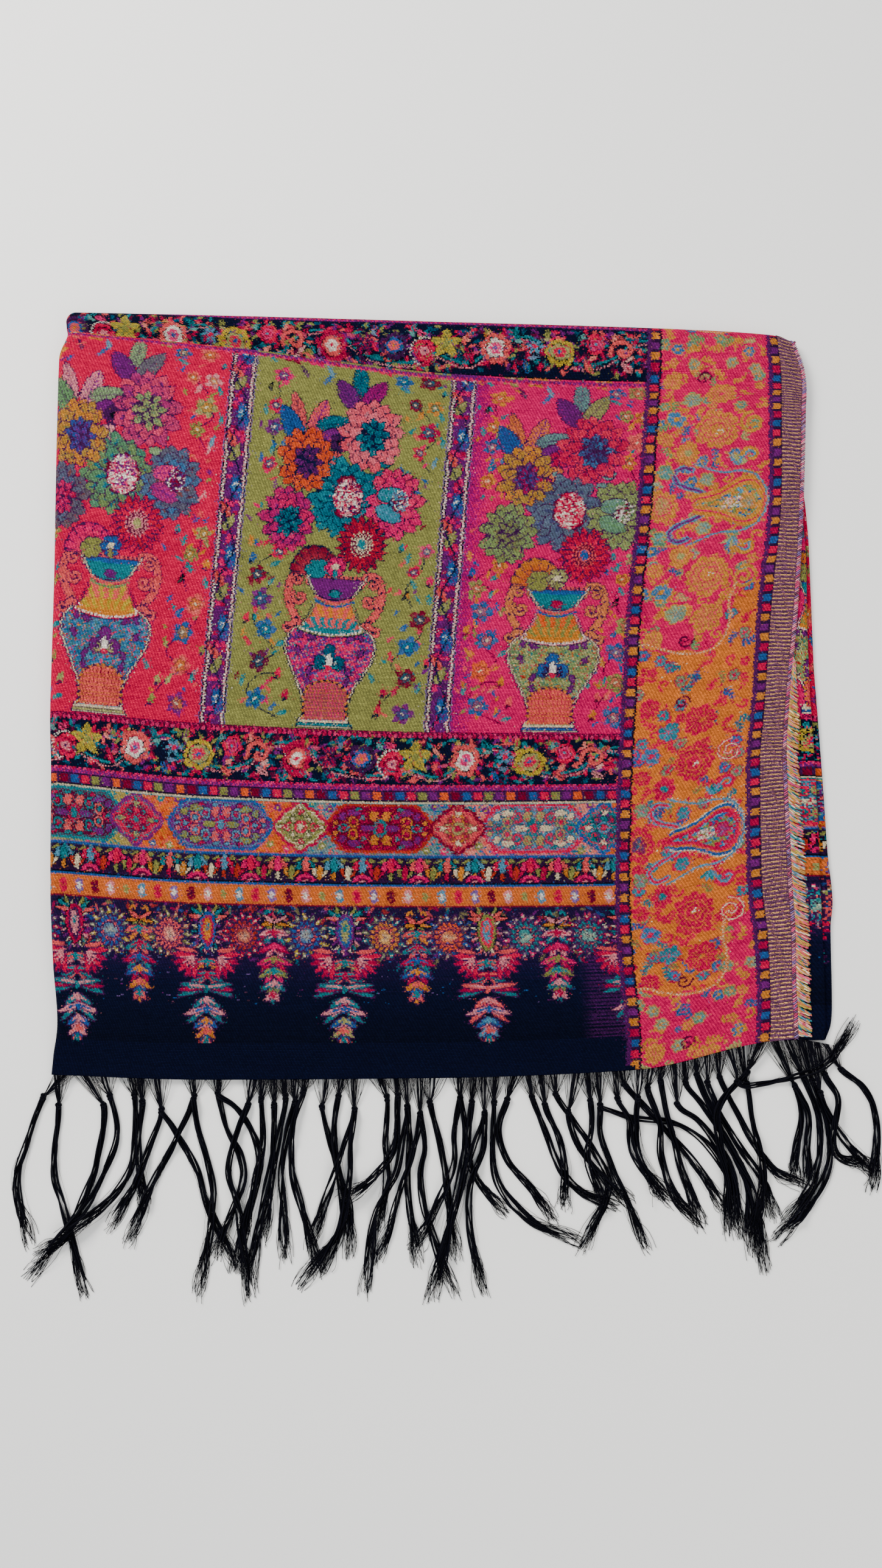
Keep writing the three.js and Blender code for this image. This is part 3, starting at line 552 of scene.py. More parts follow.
def woven_material(name):
    """Twill weave: each weft shows as short stitches that step sideways from row to row, with painted light
    and shade in the base colour: lighter on the stitch tops, darker in the gaps between stitches and rows.
    """
    nodes = Nodes(name)
    maths = nodes.maths
    place = nodes.add("Attribute", attribute_name="cloth").outputs["Vector"]
    dye = nodes.add("Attribute", attribute_name="dye").outputs
    split = nodes.add("SeparateXYZ", {0: place}).outputs
    row = maths("DIVIDE", split[1], ROW_PITCH)
    step = maths("FLOOR", row)
    stitch = maths("ADD", maths("DIVIDE", split[0], STITCH), maths("MULTIPLY", step, 0.25))
    rise = maths("SINE", maths("MULTIPLY", maths("FRACT", stitch), math.pi))
    arch = maths("SINE", maths("MULTIPLY", maths("FRACT", row), math.pi))
    height = maths("POWER", maths("MULTIPLY", rise, arch), 0.5)
    cell = nodes.add("CombineXYZ", {0: maths("FLOOR", stitch), 1: step}).outputs[0]
    dice = nodes.add("TexWhiteNoise", {"Vector": cell}, noise_dimensions="2D").outputs["Value"]
    # `light` scales the base colour: random tone for each stitch (dice) and in soft clouds, and painted
    # light and shade from the stitch height, lighter on the stitch tops and darker in the gaps between
    # stitches and rows.
    light = maths("MULTIPLY_ADD", dice, 0.34, 0.8)
    light = maths("MULTIPLY", light, maths("MULTIPLY_ADD", height, 0.95, 0.42))
    cloud = nodes.noise(place, 0.06, 3.0)
    light = maths("MULTIPLY", light, maths("MULTIPLY_ADD", cloud, 0.3, 0.88))
    metal = maths("SUBTRACT", 1.0, dye["Alpha"])
    shiny = maths("MULTIPLY", metal, maths("GREATER_THAN", height, 0.45))
    fuzz = nodes.noise(place, 2.6)
    return nodes.finish(
        (RELIEF, 0.00035, maths("MULTIPLY_ADD", fuzz, 0.5, height)),
        Base_Color=nodes.scaled(dye["Color"], light),
        Roughness=maths("MULTIPLY_ADD", shiny, -0.42, 0.88),
        Metallic=maths("MULTIPLY", shiny, 0.65),
        Specular_IOR_Level=0.03,
    )


def yarn_material(name, dark, light):
    """Fibres of one colour with light and dark streaks."""
    nodes = Nodes(name)
    place = nodes.add("TexCoord").outputs["Object"]
    streak = nodes.noise(place, 900.0)
    blotch = nodes.maths("MULTIPLY", streak, nodes.noise(place, 60.0))
    share = nodes.maths("MULTIPLY_ADD", blotch, 3.0, -0.35)
    blend = nodes.add("Mix", {0: share, 6: (*dark, 1), 7: (*light, 1)}, data_type="RGBA")
    return nodes.finish(
        (0.5, 0.0002, streak),
        Base_Color=blend.outputs[2],
        Roughness=0.6,
        Specular_IOR_Level=0.05,
    )


def dyed_yarn_material(name):
    """Twisted yarns, each in its own colour."""
    nodes = Nodes(name)
    dye = nodes.add("Attribute", attribute_name="dye").outputs["Color"]
    twist = nodes.noise(nodes.add("TexCoord").outputs["Object"], 1400.0)
    return nodes.finish(
        (0.6, 0.0002, twist),
        Base_Color=nodes.scaled(dye, nodes.maths("MULTIPLY_ADD", twist, 0.9, 0.5)),
        Roughness=0.75,
        Specular_IOR_Level=0.2,
    )


def floor_material():
    """Pale and matt, with a fine grain."""
    nodes = Nodes("pale_floor")
    grain = nodes.noise(nodes.add("TexCoord").outputs["Object"], 500.0)
    return nodes.finish(
        (0.15, 0.0003, grain),
        Base_Color=(0.93, 0.915, 0.89, 1),
        Roughness=0.9,
        Specular_IOR_Level=0.2,
    )


def make_camera():
    """The photograph's view: from nearly straight above, a little towards the fringe."""
    data = bpy.data.cameras.new("camera")
    data.sensor_width = 36.0
    data.lens = 29.96
    data.clip_start = 0.01
    camera = bpy.data.objects.new("camera", data)
    camera.location = (-0.00456, -0.12144, 0.83362)
    camera.rotation_euler = (math.radians(8), 0, 0)
    bpy.context.scene.collection.objects.link(camera)
    bpy.context.scene.camera = camera


def make_floor():
    """A plain square for the cloth under the shawl."""
    half, top = 1500, -0.02
    corners = [[-half, -half, top], [half, -half, top], [half, half, top], [-half, half, top]]
    floor = new_mesh("floor", corners, [[0, 1, 2, 3]], floor_material(), smooth=False)


def area_light(name, place, energy, size, colour):
    """A soft square light that points at the middle of the floor."""
    data = bpy.data.lights.new(name, "AREA")
    data.energy = energy
    data.size = size
    data.color = colour
    light = bpy.data.objects.new(name, data)
    light.location = place
    x, y, z = place
    light.rotation_euler = (math.atan2(math.hypot(x, y), z), 0, math.atan2(-y, -x) - math.pi / 2)
    bpy.context.scene.collection.objects.link(light)


def make_lights():
    """An even sky, a soft window from the back left and a weaker fill."""
    world = bpy.data.worlds.new("studio")
    world.use_nodes = True
    sky = world.node_tree.nodes["Background"].inputs
    sky[0].default_value = (0.9, 0.95, 1.0, 1)
    sky[1].default_value = 0.9
    bpy.context.scene.world = world
    area_light("window", (-0.9, 0.9, 1.1), 38.0, 0.7, (1.0, 0.98, 0.95))
    area_light("fill", (0.9, -0.7, 1.3), 12.0, 1.2, (1.0, 0.94, 0.86))


# Painting. Colours are sRGB, and the canvas holds two samples for each millimetre both ways.
SAMPLES = 2
FIELD_LEFT, FIELD_RIGHT, CLOTH_TOP = -18, 383, 519
BORDER_RIGHT = 466
OUTLINE = 0.75  # width of the dark line round a motif
DEPTH, BORDER_DEPTH = 0.77, 0.82  # the grey part of each dye is brought down to this share of it


class Canvas:
    """sRGB colours on the flat cloth, with a fourth value of 0 where metal thread shows."""

    def __init__(self, left, right, high, seed):
        self.left = left
        self.xs = left + (np.arange((right - left) * SAMPLES) + 0.5) / SAMPLES
        self.ys = (np.arange(high * SAMPLES) + 0.5) / SAMPLES
        self.dye = np.ones((len(self.ys), len(self.xs), 4))
        self.rng = np.random.default_rng(seed)

    def window(self, x, y, reach_x, reach_y):
        """The part of the canvas round a point, and its coordinates from that point."""
        columns = slice(*np.searchsorted(self.xs, [x - reach_x, x + reach_x]))
        rows = slice(*np.searchsorted(self.ys, [y - reach_y, y + reach_y]))
        u, v = np.meshgrid(self.xs[columns] - x, self.ys[rows] - y)
        return self.dye[rows, columns], u, v

    def band(self, low, high, colour, left=-1000, right=1000):
        """Fills a straight band, all the way across if it has no left and right."""
        columns = slice(*np.searchsorted(self.xs, [left, right]))
        rows = slice(*np.searchsorted(self.ys, [low, high]))
        self.dye[rows, columns, :3] = ink(colour) if isinstance(colour, str) else colour
        self.dye[rows, columns, 3] = 1

    def corners(self, first_column, columns, first_row, rows):
        """Colours for the four corners of each 1 mm quad, in the order of grid_faces."""
        part = self.dye[
            first_row * SAMPLES : (first_row + rows) * SAMPLES,
            (first_column - self.left) * SAMPLES : (first_column - self.left + columns) * SAMPLES,
        ]
        corners = [part[0::2, 0::2], part[0::2, 1::2], part[1::2, 1::2], part[1::2, 0::2]]
        return np.stack(corners, axis=2).reshape(-1, 4, 4)

    def weave(self, strays, depth):
        """Uneven dye, stepped edges and, for a share of the samples, the colour of a yarn nearby."""
        rows = np.arange(len(self.ys))
        shift = self.rng.integers(-1, 2, len(rows) // 2 + 1)[rows // 2]
        columns = np.arange(len(self.xs))[None] + shift[:, None]
        stray = self.rng.random(columns.shape) < strays
        columns = columns + np.where(stray, self.rng.normal(0, 4.5, columns.shape), 0).astype(int)
        lift = np.where(stray, self.rng.normal(0, 2.5, columns.shape), 0).astype(int)
        columns = np.clip(columns, 0, len(self.xs) - 1)
        self.dye = self.dye[np.clip(rows[:, None] + lift, 0, len(rows) - 1), columns]
        light = self.rng.normal(1, 0.09, self.dye.shape[:2]) * self.rng.normal(1, 0.03, (len(rows), 1))
        grey = self.dye[..., :3].mean(axis=2, keepdims=True)
        deep = grey * depth + self.dye[..., :3] - grey
        self.dye[..., :3] = np.clip(deep, 0, 1) * light[..., None]
        bright = self.dye[..., :3].min(axis=2) > 0.5
        self.dye[..., 3] = np.where(bright & (self.rng.random(bright.shape) < 0.75), 0, self.dye[..., 3])


def put(part, mask, colour, metal=False):
    """Dyes the samples under a mask. A colour is a name, one value or one for each sample."""
    colour = ink(colour) if isinstance(colour, str) else colour
    part[mask, :3] = colour[mask] if colour.ndim == 3 else colour
    part[mask, 3] = 0 if metal else 1


def mix(first, second, share):
    """Between two colours, by a number or an array of them."""
    first, second = (ink(c) if isinstance(c, str) else c for c in (first, second))
    share = np.asarray(share)[..., None]
    return first * (1 - share) + second * share


def disc(canvas, x, y, rx, ry, colour, line=None, metal=False):
    """A filled ellipse, with an outline if a colour is given for it."""
    part, u, v = canvas.window(x, y, rx + 1, ry + 1)
    inside = (u / rx) ** 2 + (v / ry) ** 2 < 1
    if line is not None:
        put(part, (u / (rx + OUTLINE)) ** 2 + (v / (ry + OUTLINE)) ** 2 < 1, line)
    put(part, inside, colour, metal)


def turned(u, v, angle):
    """Coordinates along and across a direction, in radians."""
    cos, sin = math.cos(angle), math.sin(angle)
    return u * cos + v * sin, v * cos - u * sin


def leaf(canvas, x, y, length, width, degrees, colour, vein=None, line="ink"):
    """A pointed leaf from its stem at x, y."""
    part, u, v = canvas.window(x, y, length + 1.5, length + 1.5)
    p, q = turned(u, v, math.radians(degrees))
    share = np.clip(p / length, 0, 1)
    half = width * 0.95 * share**0.55 * (1 - share) ** 0.7
    depth = np.where((p > 0) & (p < length), half - np.abs(q), -1)
    if line is not None:
        grown = (p > -OUTLINE) & (p < length + OUTLINE) & (half + OUTLINE - np.abs(q) > 0)
        put(part, grown & (depth <= 0), line)
    put(part, depth > 0, colour)
    if vein is not None:
        lines = (np.abs(q) < 0.42) | (((p - np.abs(q) * 0.9) % 3.0 < 0.75) & (width > 6))
        put(part, (depth > 0.4) & lines, vein)


def fan(canvas, x, y, length, width, angles, colours, line=None):
    """Several leaves from one point."""
    for turn, degrees in enumerate(angles):
        leaf(canvas, x, y, length, width, degrees, colours[turn % len(colours)], line=line)


def stroke(canvas, points, width, colour, line=None, metal=False):
    """A rounded line through points."""
    points = smooth_path(points, 1.5) if len(points) > 2 else np.asarray(points, float)
    low, high = points.min(axis=0), points.max(axis=0)
    middle, reach = (low + high) / 2, (high - low) / 2 + width + 2
    part, u, v = canvas.window(*middle, *reach)
    near = np.full(u.shape, 1e9)
    for a, b in zip(points - middle, points[1:] - middle):
        step = b - a
        t = np.clip(((u - a[0]) * step[0] + (v - a[1]) * step[1]) / max(step @ step, 1e-9), 0, 1)
        near = np.minimum(near, np.hypot(u - a[0] - t * step[0], v - a[1] - t * step[1]))
    if line is not None:
        put(part, near < width / 2 + OUTLINE * 0.8, line)
    put(part, near < width / 2, colour, metal)


def dotted(canvas, points, gap, size, colour, metal=True):
    """Dots in a row along a line."""
    for x, y in smooth_path(points, gap):
        disc(canvas, x, y, size, size * 0.8, colour, metal=metal)


def curl(canvas, x, y, radius, start, turns, width, colour, line=None, metal=False):
    """A spiral that winds inwards from its outer end."""
    t = np.linspace(0, 1, max(6, int(abs(turns) * 10)))
    angle = math.radians(start) + t * turns * 2 * math.pi
    reach = radius * (1 - 0.82 * t)
    points = np.stack([x + reach * np.cos(angle), y + reach * np.sin(angle)], axis=1)
    stroke(canvas, points, width, colour, line, metal)


def petals(
    canvas, x, y, rx, ry, count, colour, deep, line="plum", low=0.0, turn=0.0, sharp=0.5, notch=0.16
):
    """One ring of petals from `low`, a share of the radius, out to the rim."""
    part, u, v = canvas.window(x, y, rx * 1.25 + 1, ry * 1.25 + 1)
    angle = np.arctan2(v / ry, u / rx)
    share = np.hypot(u / rx, v / ry)
    wobble = 0.05 * np.sin(2 * angle + x) + 0.04 * np.sin(5 * angle + y)
    lobe = np.abs(np.cos(count / 2 * (angle - turn)))
    which = np.floor((angle - turn) * count / (2 * math.pi) + 0.5).astype(int) % count
    long = canvas.rng.uniform(-0.09, 0.09, count)[which]
    bright = canvas.rng.uniform(0, 0.38, count)[which]
    rim = 1 - notch * (1 - lobe**sharp) + wobble + long
    size = (rx + ry) / 2
    depth = (rim - share) * size
    reach = max(1.0, (1 - low) * size)
    inside = (depth > 0) & (share > low * 0.8)
    put(part, (depth > -OUTLINE) & (share > low * 0.8), line)
    fade = np.clip(depth / reach, 0, 1)
    put(part, inside, mix(colour, deep, np.clip(fade * 0.6 + bright, 0, 1)))
    split = (lobe < 0.62 * OUTLINE * count / (2 * math.pi * np.maximum(share, 0.15) * size)) & (fade < 0.95)
    put(part, inside & split & (depth > 0.3), line)
    vein = (lobe > 0.975) & (fade > 0.3) & (fade < 0.9) & (size > 8)
    put(part, inside & vein, line)


def speckle(canvas, x, y, rx, ry, colours, cell=1.0, share=1.0, metal=()):
    """Small patches of several colours inside an ellipse."""
    part, u, v = canvas.window(x, y, rx, ry)
    scatter(canvas, part, (u / rx) ** 2 + (v / ry) ** 2 < 1, u, v, colours, cell, share, metal)


def scatter(canvas, part, mask, u, v, colours, cell=1.2, share=1.0, metal=()):
    """Fills cells of the mask, or a share of them, each with one of the colours by chance."""
    if not u.size:
        return
    column = ((u - u.min()) / cell).astype(int)
    row = ((v - v.min()) / (cell * 0.8)).astype(int)
    picked = canvas.rng.integers(0, len(colours), (row.max() + 1, column.max() + 1))[row, column]
    shown = canvas.rng.random((row.max() + 1, column.max() + 1))[row, column] < share
    for index, colour in enumerate(colours):
        put(part, mask & shown & (picked == index), colour, isinstance(colour, str) and colour in metal)


def around(x, y, rx, ry, angle):
    """The point of an ellipse at an angle in radians."""
    return x + rx * math.cos(angle), y + ry * math.sin(angle)


RINGS = [(0.8, 13), (0.62, 11), (0.46, 9)]  # share of the flower's radius, petals


def ruffles(canvas, x, y, rx, ry, colour, deep, line="plum", rings=RINGS):
    """Rings of overlapping pointed petals, each with its own shade, from the rim inwards."""
    disc(canvas, x, y, rx * 0.85, ry * 0.85, line)
    rng = canvas.rng
    for share, count in rings:
        for k in range(count):
            angle = 2 * math.pi * (k + rng.uniform(-0.2, 0.2)) / count + 5 * share
            reach = share * rng.uniform(0.92, 1.05)
            spot = around(x, y, rx * reach, ry * reach, angle)
            size = (0.24 + 0.06 * share) * rng.uniform(0.9, 1.1)
            tint = mix(colour, deep, rng.uniform(0, 0.55))
            root = around(*spot, -rx * 0.24, -ry * 0.24, angle)
            turn = math.degrees(math.atan2(ry * math.sin(angle), rx * math.cos(angle))) + rng.uniform(-9, 9)
            length = (rx + ry) / 2 * (0.3 + size * 0.8)
            leaf(canvas, *root, length, length * 0.86, turn, tint, line=line)
            leaf(canvas, *root, length * 0.62, length * 0.3, turn, mix(deep, line, 0.15), line=None)


def peony(canvas, x, y, rx, ry, colour, deep, core, core_deep, line="plum"):
    """A full flower with one of half its size, in another colour, in its middle."""
    ruffles(canvas, x, y, rx, ry, colour, deep, line)
    middle = (x + rx * 0.06, y - ry * 0.05)
    ruffles(canvas, *middle, rx * 0.5, ry * 0.5, core, core_deep, line, [(0.8, 8), (0.4, 5)])


def zinnia(canvas, x, y, rx, ry, colour, deep, core, eye, line="plum"):
    """A flower of narrow petals with a pale speckled middle."""
    disc(canvas, x, y, rx * 0.8, ry * 0.8, line)
    for share, count in ((1.0, 19), (0.82, 16)):
        for k in range(count):
            turn = 360 * (k + canvas.rng.uniform(-0.15, 0.15)) / count + 40 * share
            length = share * math.hypot(*around(0, 0, rx, ry, math.radians(turn)))
            tint = mix(colour, deep, canvas.rng.uniform(0, 0.6))
            leaf(canvas, x, y, length, length * 0.34, turn, tint, line=line)
    disc(canvas, x, y, rx * 0.4, ry * 0.4, "wine")
    for k in range(16):
        for reach in (0.2, 0.32, 0.43):
            disc(canvas, *around(x, y, rx * reach, ry * reach, k * math.pi / 8), 0.55, 0.9, core)
    disc(canvas, x, y, rx * 0.15, ry * 0.18, eye)


def rosette(canvas, x, y, radius, colour, ring, core, eye, line="ink", count=8):
    """A small round flower of the floral bands."""
    petals(canvas, x, y, radius, radius * 1.05, count, colour, colour, line, low=0.3)
    petals(canvas, x, y, radius * 0.62, radius * 0.62, count, ring, ring, line, turn=0.3)
    petals(canvas, x, y, radius * 0.4, radius * 0.4, 6, core, core, ring)
    disc(canvas, x, y, radius * 0.14, radius * 0.14, eye)


def blossom(canvas, x, y, radius, colour, core, count=5, line=None):
    """A little open flower with separate round petals."""
    for k in range(count):
        spot = around(x, y, radius * 0.6, radius * 0.6, 2 * math.pi * k / count + x)
        disc(canvas, *spot, radius * 0.42, radius * 0.42, colour, line)
    disc(canvas, x, y, radius * 0.34, radius * 0.34, core)


def half_profile(v, table):
    """Half widths at heights, from rows of height and half width."""
    heights, halves = zip(*table)
    return np.interp(v, heights, halves, left=-1, right=-1)


CHECK_PITCH = 7.08
CHECK_START = 56.0  # the middle of one square, across the cloth
CHECK_CYCLE = ["orange", "maroon", "blue", "red", "olive", "purple"]


def check_row(canvas, low):
    """A strip of squares across the cloth, with its lines."""
    canvas.band(low, low + 7.5, "plum")
    canvas.band(low, low + 1.0, "ink")
    canvas.band(low + 6.9, low + 7.5, "ink")
    first = math.floor((FIELD_LEFT - CHECK_START) / CHECK_PITCH)
    last = int((FIELD_RIGHT - CHECK_START) / CHECK_PITCH)
    for k in range(first, last + 1):
        middle = CHECK_START + k * CHECK_PITCH
        colour = CHECK_CYCLE[k % len(CHECK_CYCLE)]
        canvas.band(low + 1.3, low + 6.5, colour, middle - 2.7, middle + 2.7)
        canvas.band(low + 1.3, low + 6.5, mix(colour, "ink", 0.35), middle - 2.7, middle - 2.2)


def scallop_row(canvas, low, ground="purple", dots=("magenta", "pink", "crimson"), up=1):
    """A purple line with a row of small pink bumps on one side of it."""
    canvas.band(low, low + 2.6, ground)
    edge = low + (2.8 if up > 0 else -0.2)
    x = FIELD_LEFT
    k = 0
    while x < FIELD_RIGHT:
        disc(canvas, x, edge, 1.25, 1.15, dots[k % len(dots)])
        disc(canvas, x, low + 1.3 - up * 0.3, 0.7, 0.6, dots[(k + 1) % len(dots)])
        x += 3.2 + 0.3 * math.sin(k)
        k += 1


# The lower band: where its big and small hanging sprays are across the cloth, and their yarns.
PENDANTS = [28.0, 117.2, 206.4, 295.6, 384.8]
SMALL_PENDANTS = [72.6, 161.8, 251.0, 340.2]
PENDANT_COLOURS = [  # outer leaf, ring, inner leaf, the other leaves
    ("crimson", "plum", "rose", "teal"),
    ("blue", "crimson", "ochre", "teal"),
    ("purple", "blue", "lime", "teal"),
    ("olive", "red", "sky", "salmon"),
    ("blue", "red", "rose", "teal"),
]
SMALL_PENDANT_COLOURS = [
    ["ochre", "salmon", "teal", "crimson", "blue"],
    ["teal", "rose", "crimson", "magenta", "olive"],
]
ROSETTE_COLOURS = [  # petals, core
    ("crimson", "teal"), ("yellow", "blue"), ("olive", "salmon"), ("red", "rust"), ("yellow", "blue"),
    ("teal", "ochre"), ("blue", "orange"), ("pink", "teal"),
]
TIERS = [  # height above the hem, leaf length, degrees from straight down
    (74, 8, (50, 75)), (66, 10, (40, 62, 84)), (57, 15, (72, 84, 96)), (50, 9, (30, 55)),
    (44, 12, (50, 70)), (37, 8, (28, 52)), (31, 7, (20, 45)), (25, 5, (0, 30)),
]
SMALL_TIERS = [
    (92, 8, (40, 75)), (84, 9, (30, 60)), (76, 10, (40, 66)), (69, 9, (30, 58)), (61, 8, (20, 50)),
    (54, 6, (0, 35)),
]
FILLER = ["teal", "olive", "crimson", "purple", "salmon", "blue", "rust"]
FLECKS = ["lilac", "blue", "purple", "mauve"]


def spray_tiers(canvas, x, tiers, colours):
    """Pairs of leaves hanging one under another, each with a streak of the next colour."""
    for k, (height, length, turns) in enumerate(tiers):
        for j, turn in enumerate(turns):
            outer, streak = (colours[(k + j + step) % len(colours)] for step in (0, 1))
            for degrees in (-90 - turn, -90 + turn):
                leaf(canvas, x, height, length * (1.3 - 0.08 * j), 3.9, degrees, outer, line="plum")
                leaf(canvas, x, height, length * 0.8, 1.8, degrees, streak, line=None)
        disc(canvas, x, height - 1.5, 1.6, 2.4, colours[(k + 2) % len(colours)])


def pendant(canvas, x, colours):
    """A big hanging spray: a pointed flower with a fringe of leaves, and tiers under it."""
    outer, ring, inner, other = colours
    for side in (-1, 1):
        turns = [90 - side * t for t in (20, 50, 80)]
        fan(canvas, x + side * 3, 99, 10, 2.8, turns, ["olive", other, "salmon"], "ink")
    for k in range(22):
        angle = 360 * k / 22
        root = around(x, 91, 6.2, 9.5, math.radians(angle))
        leaf(canvas, *root, 4.2, 1.6, angle, ["rose", "purple", "cream", other][k % 4], line=None)
    leaf(canvas, x, 103, 23, 14.5, -90, outer, line="ink")
    leaf(canvas, x, 101, 19, 10.5, -90, ring, line=None)
    leaf(canvas, x, 99.5, 14.5, 6.4, -90, inner, line=None)
    disc(canvas, x, 94, 1.3, 2.4, other)
    spray_tiers(canvas, x, TIERS, [inner, "salmon", "teal", "crimson", other, "rose", "blue"])
    for side in (-1, 1):
        wide = [-90 + side * t for t in (0, 24, 48, 72, 96)]
        between = [-90 + side * t for t in (12, 36, 60, 84)]
        fan(canvas, x + side * 8, 76, 14, 4.4, wide, ["red", "crimson"], "plum")
        fan(canvas, x + side * 8, 76, 9.0, 1.5, between, ["rose"])
        leaf(canvas, x + side * 7, 79, 13, 3.2, -90 + side * 98, "salmon", line="plum")


def small_pendant(canvas, x, colours):
    """A narrow hanging spray under two curls."""
    for side in (-1, 1):
        curl(canvas, x + side * 3.4, 103, 3.6, 270, 0.7 * side, 1.4, colours[0])
        turns = [-90 + side * t for t in (15, 45, 80, 120)]
        fan(canvas, x, 97, 9, 2.6, turns, [colours[1], "olive", "ochre"], "ink")
    spray_tiers(canvas, x, SMALL_TIERS, colours)


def hanging_rosette(canvas, x, y, colour, core):
    """A round burst of narrow petals, pale at their tips."""
    for length, shift, tint in ((14.5, 0, colour), (11.5, 12, "deep"), (9.5, 12, core), (6.5, 0, "salmon")):
        turns = [24 * k + shift for k in range(15)]
        fan(canvas, x, y, length, 3.9, turns, [tint, mix(tint, core, 0.5)], "plum")
    for k in range(15):
        disc(canvas, *around(x, y, 12, 12, math.radians(24 * k)), 0.8, 0.5, "cream")
    petals(canvas, x, y, 4.4, 4.4, 6, core, "cream", "plum")


def pendant_ground(canvas):
    """Dark at the hem, plum higher up, with purple ribs at the lower right."""
    part, u, v = canvas.window(180, 55, 210, 55)
    height = v + 55
    streak = canvas.rng.normal(0, 0.12, (len(part), 1)) + 0.1 * np.sin(u / 40 + 1)
    plum = np.clip((height - 56) / 24 + streak, 0, 1) * 0.4
    right = np.clip((u + 180 - 352) / 8, 0, 1) * np.clip((83 - height) / 6, 0, 1)
    colour = mix(mix("ink", "navy", np.clip(height / 90, 0, 0.8)), "plum", plum)
    ribs = (height % 2.4 < 1.3) * 0.55
    put(part, np.ones(u.shape, bool), mix(colour, "purple", right * ribs))


def pendant_band(canvas):
    """The lower band: hanging sprays and rosettes over scattered leaves."""
    pendant_ground(canvas)
    rng = canvas.rng
    for _ in range(520):
        spot = (rng.uniform(FIELD_LEFT, FIELD_RIGHT), 106 - 34 * rng.random() ** 1.3)
        tint = mix(FILLER[rng.integers(len(FILLER))], "plum", 0.25)
        leaf(canvas, *spot, rng.uniform(3, 6.5), 2.2, rng.uniform(0, 360), tint, line=None)
    for k, x in enumerate(PENDANTS):
        for turn, side in enumerate((-1, 1)):
            tints = ROSETTE_COLOURS[(2 * k + turn) % len(ROSETTE_COLOURS)]
            hanging_rosette(canvas, x + side * 24.5, 89, *tints)
    for k, x in enumerate(SMALL_PENDANTS):
        small_pendant(canvas, x, SMALL_PENDANT_COLOURS[k % 2])
    for x, colours in zip(PENDANTS, PENDANT_COLOURS):
        pendant(canvas, x, colours)
    for _ in range(240):
        spot = (rng.uniform(FIELD_LEFT, 352), rng.uniform(46, 106))
        disc(canvas, *spot, rng.uniform(0.4, 1.3), 0.3, FLECKS[rng.integers(len(FLECKS))])


OCHRE_FLOWERS = [  # outer, middle
    ("lime", "olive"), ("sky", "white"), ("red", "crimson"), ("lilac", "white"), ("maroon", "wine"),
    ("rose", "white"),
]


def ochre_band(canvas):
    """A row of small double leaves on ochre."""
    canvas.band(108, 121, mix("orange", "gold", 0.35))
    canvas.band(107.4, 108.6, "maroon")
    canvas.band(120.4, 122.2, "blue")
    canvas.band(122.2, 123, "ink")
    for k in range(-10, 30):
        x = 84.8 + 10.7 * k
        outer, middle = OCHRE_FLOWERS[(k - 4) % 6]
        size = 0.7 if outer == "lime" else 1.0
        for angle, y in ((90, 114.2 - 0.6), (-90, 114.2 + 0.6)):
            leaf(canvas, x, y, 5.2 * size, 6.4 * size, angle, outer, line=None)
        disc(canvas, x, 114.2, 1.5 * size, 2.2 * size, middle)


TULIPS = ["teal", "olive", "red", "cream", "salmon", "crimson", "sky", "ochre", "magenta", "rust"]


def tulip(canvas, x, y, size, up, colour, middle):
    """Three petals from one point. `up` is 1 where it stands and -1 where it hangs."""
    for turn in (-42, 42, 0):
        tint = middle if turn == 0 else colour
        leaf(canvas, x, y, size, size * 0.62, up * (90 + turn), tint, line="ink")
    disc(canvas, x, y - up * 0.6, 1.5, 1.3, middle)


def tulip_band(canvas):
    """Tulips that stand and hang by turns, with a half rosette at every fourth."""
    canvas.band(123, 140.5, mix("ink", "plum", 0.6))
    for k in range(-2, 45):
        x = 8.9 * k + 3
        colour, middle = TULIPS[(3 * k) % 10], TULIPS[(3 * k + 4) % 10]
        if k % 2:
            tulip(canvas, x, 126.5, 7.5, 1, colour, middle)
        else:
            tulip(canvas, x, 137.6, 9.0, -1, colour, middle)
            leaf(canvas, x, 129.5, 5.5, 3.2, -90, TULIPS[(k + 5) % 10], line="ink")
            for side in (-1, 1):
                leaf(canvas, x + side * 3.5, 138.5, 5, 2.6, -90 + side * 60, "olive", line=None)
        if k % 4 == 0:
            for reach, tint in ((4.6, "magenta"), (2.8, "wine"), (1.2, "rose")):
                part, u, v = canvas.window(x, 123.4, 6, 6)
                put(part, (v > 0) & (np.hypot(u / 1.35, v) < reach), tint)
    canvas.band(139.6, 140.8, "blue")
    canvas.band(140.8, 141.5, "lilac")


# A quarter of the long and of the short cartouche: half heights at distances from the middle,
# and their spots, as across, up, both radii and which colour.
LONG_SHAPE = [
    (0, 15), (21, 15), (22.5, 13.6), (25, 12.8), (26.8, 9.6), (29, 8), (30.2, 5), (32, 3.6), (33.8, 0),
]
SHORT_SHAPE = [
    (0, 16), (2.5, 14.6), (4.2, 11.8), (8, 10.8), (10, 8.6), (12.4, 5.2), (15, 3.6), (16.8, 0),
]
LONG_SPOTS = [
    (0, 0, 4.5, 6, 0), (0, 0, 2, 3, 1), (8, 0, 4, 2.2, 2), (4, 8.5, 2.6, 4, 3), (10.5, 7, 3, 3.6, 1),
    (10.5, 7, 1.3, 1.6, 0), (16.5, 10, 4, 2.4, 2), (17, 4, 3.2, 3.6, 3), (17, 4, 1.4, 1.6, 1),
    (23, 0, 3.6, 2.8, 0), (23, 0, 1.5, 1.2, 1), (23.5, 7.5, 2.2, 2.4, 2), (4, 12.6, 2, 1, 1),
    (28, 3.4, 1.6, 1.4, 3), (13, 12.4, 2.2, 1, 0), (28.6, 0, 1.4, 0.8, 1),
]
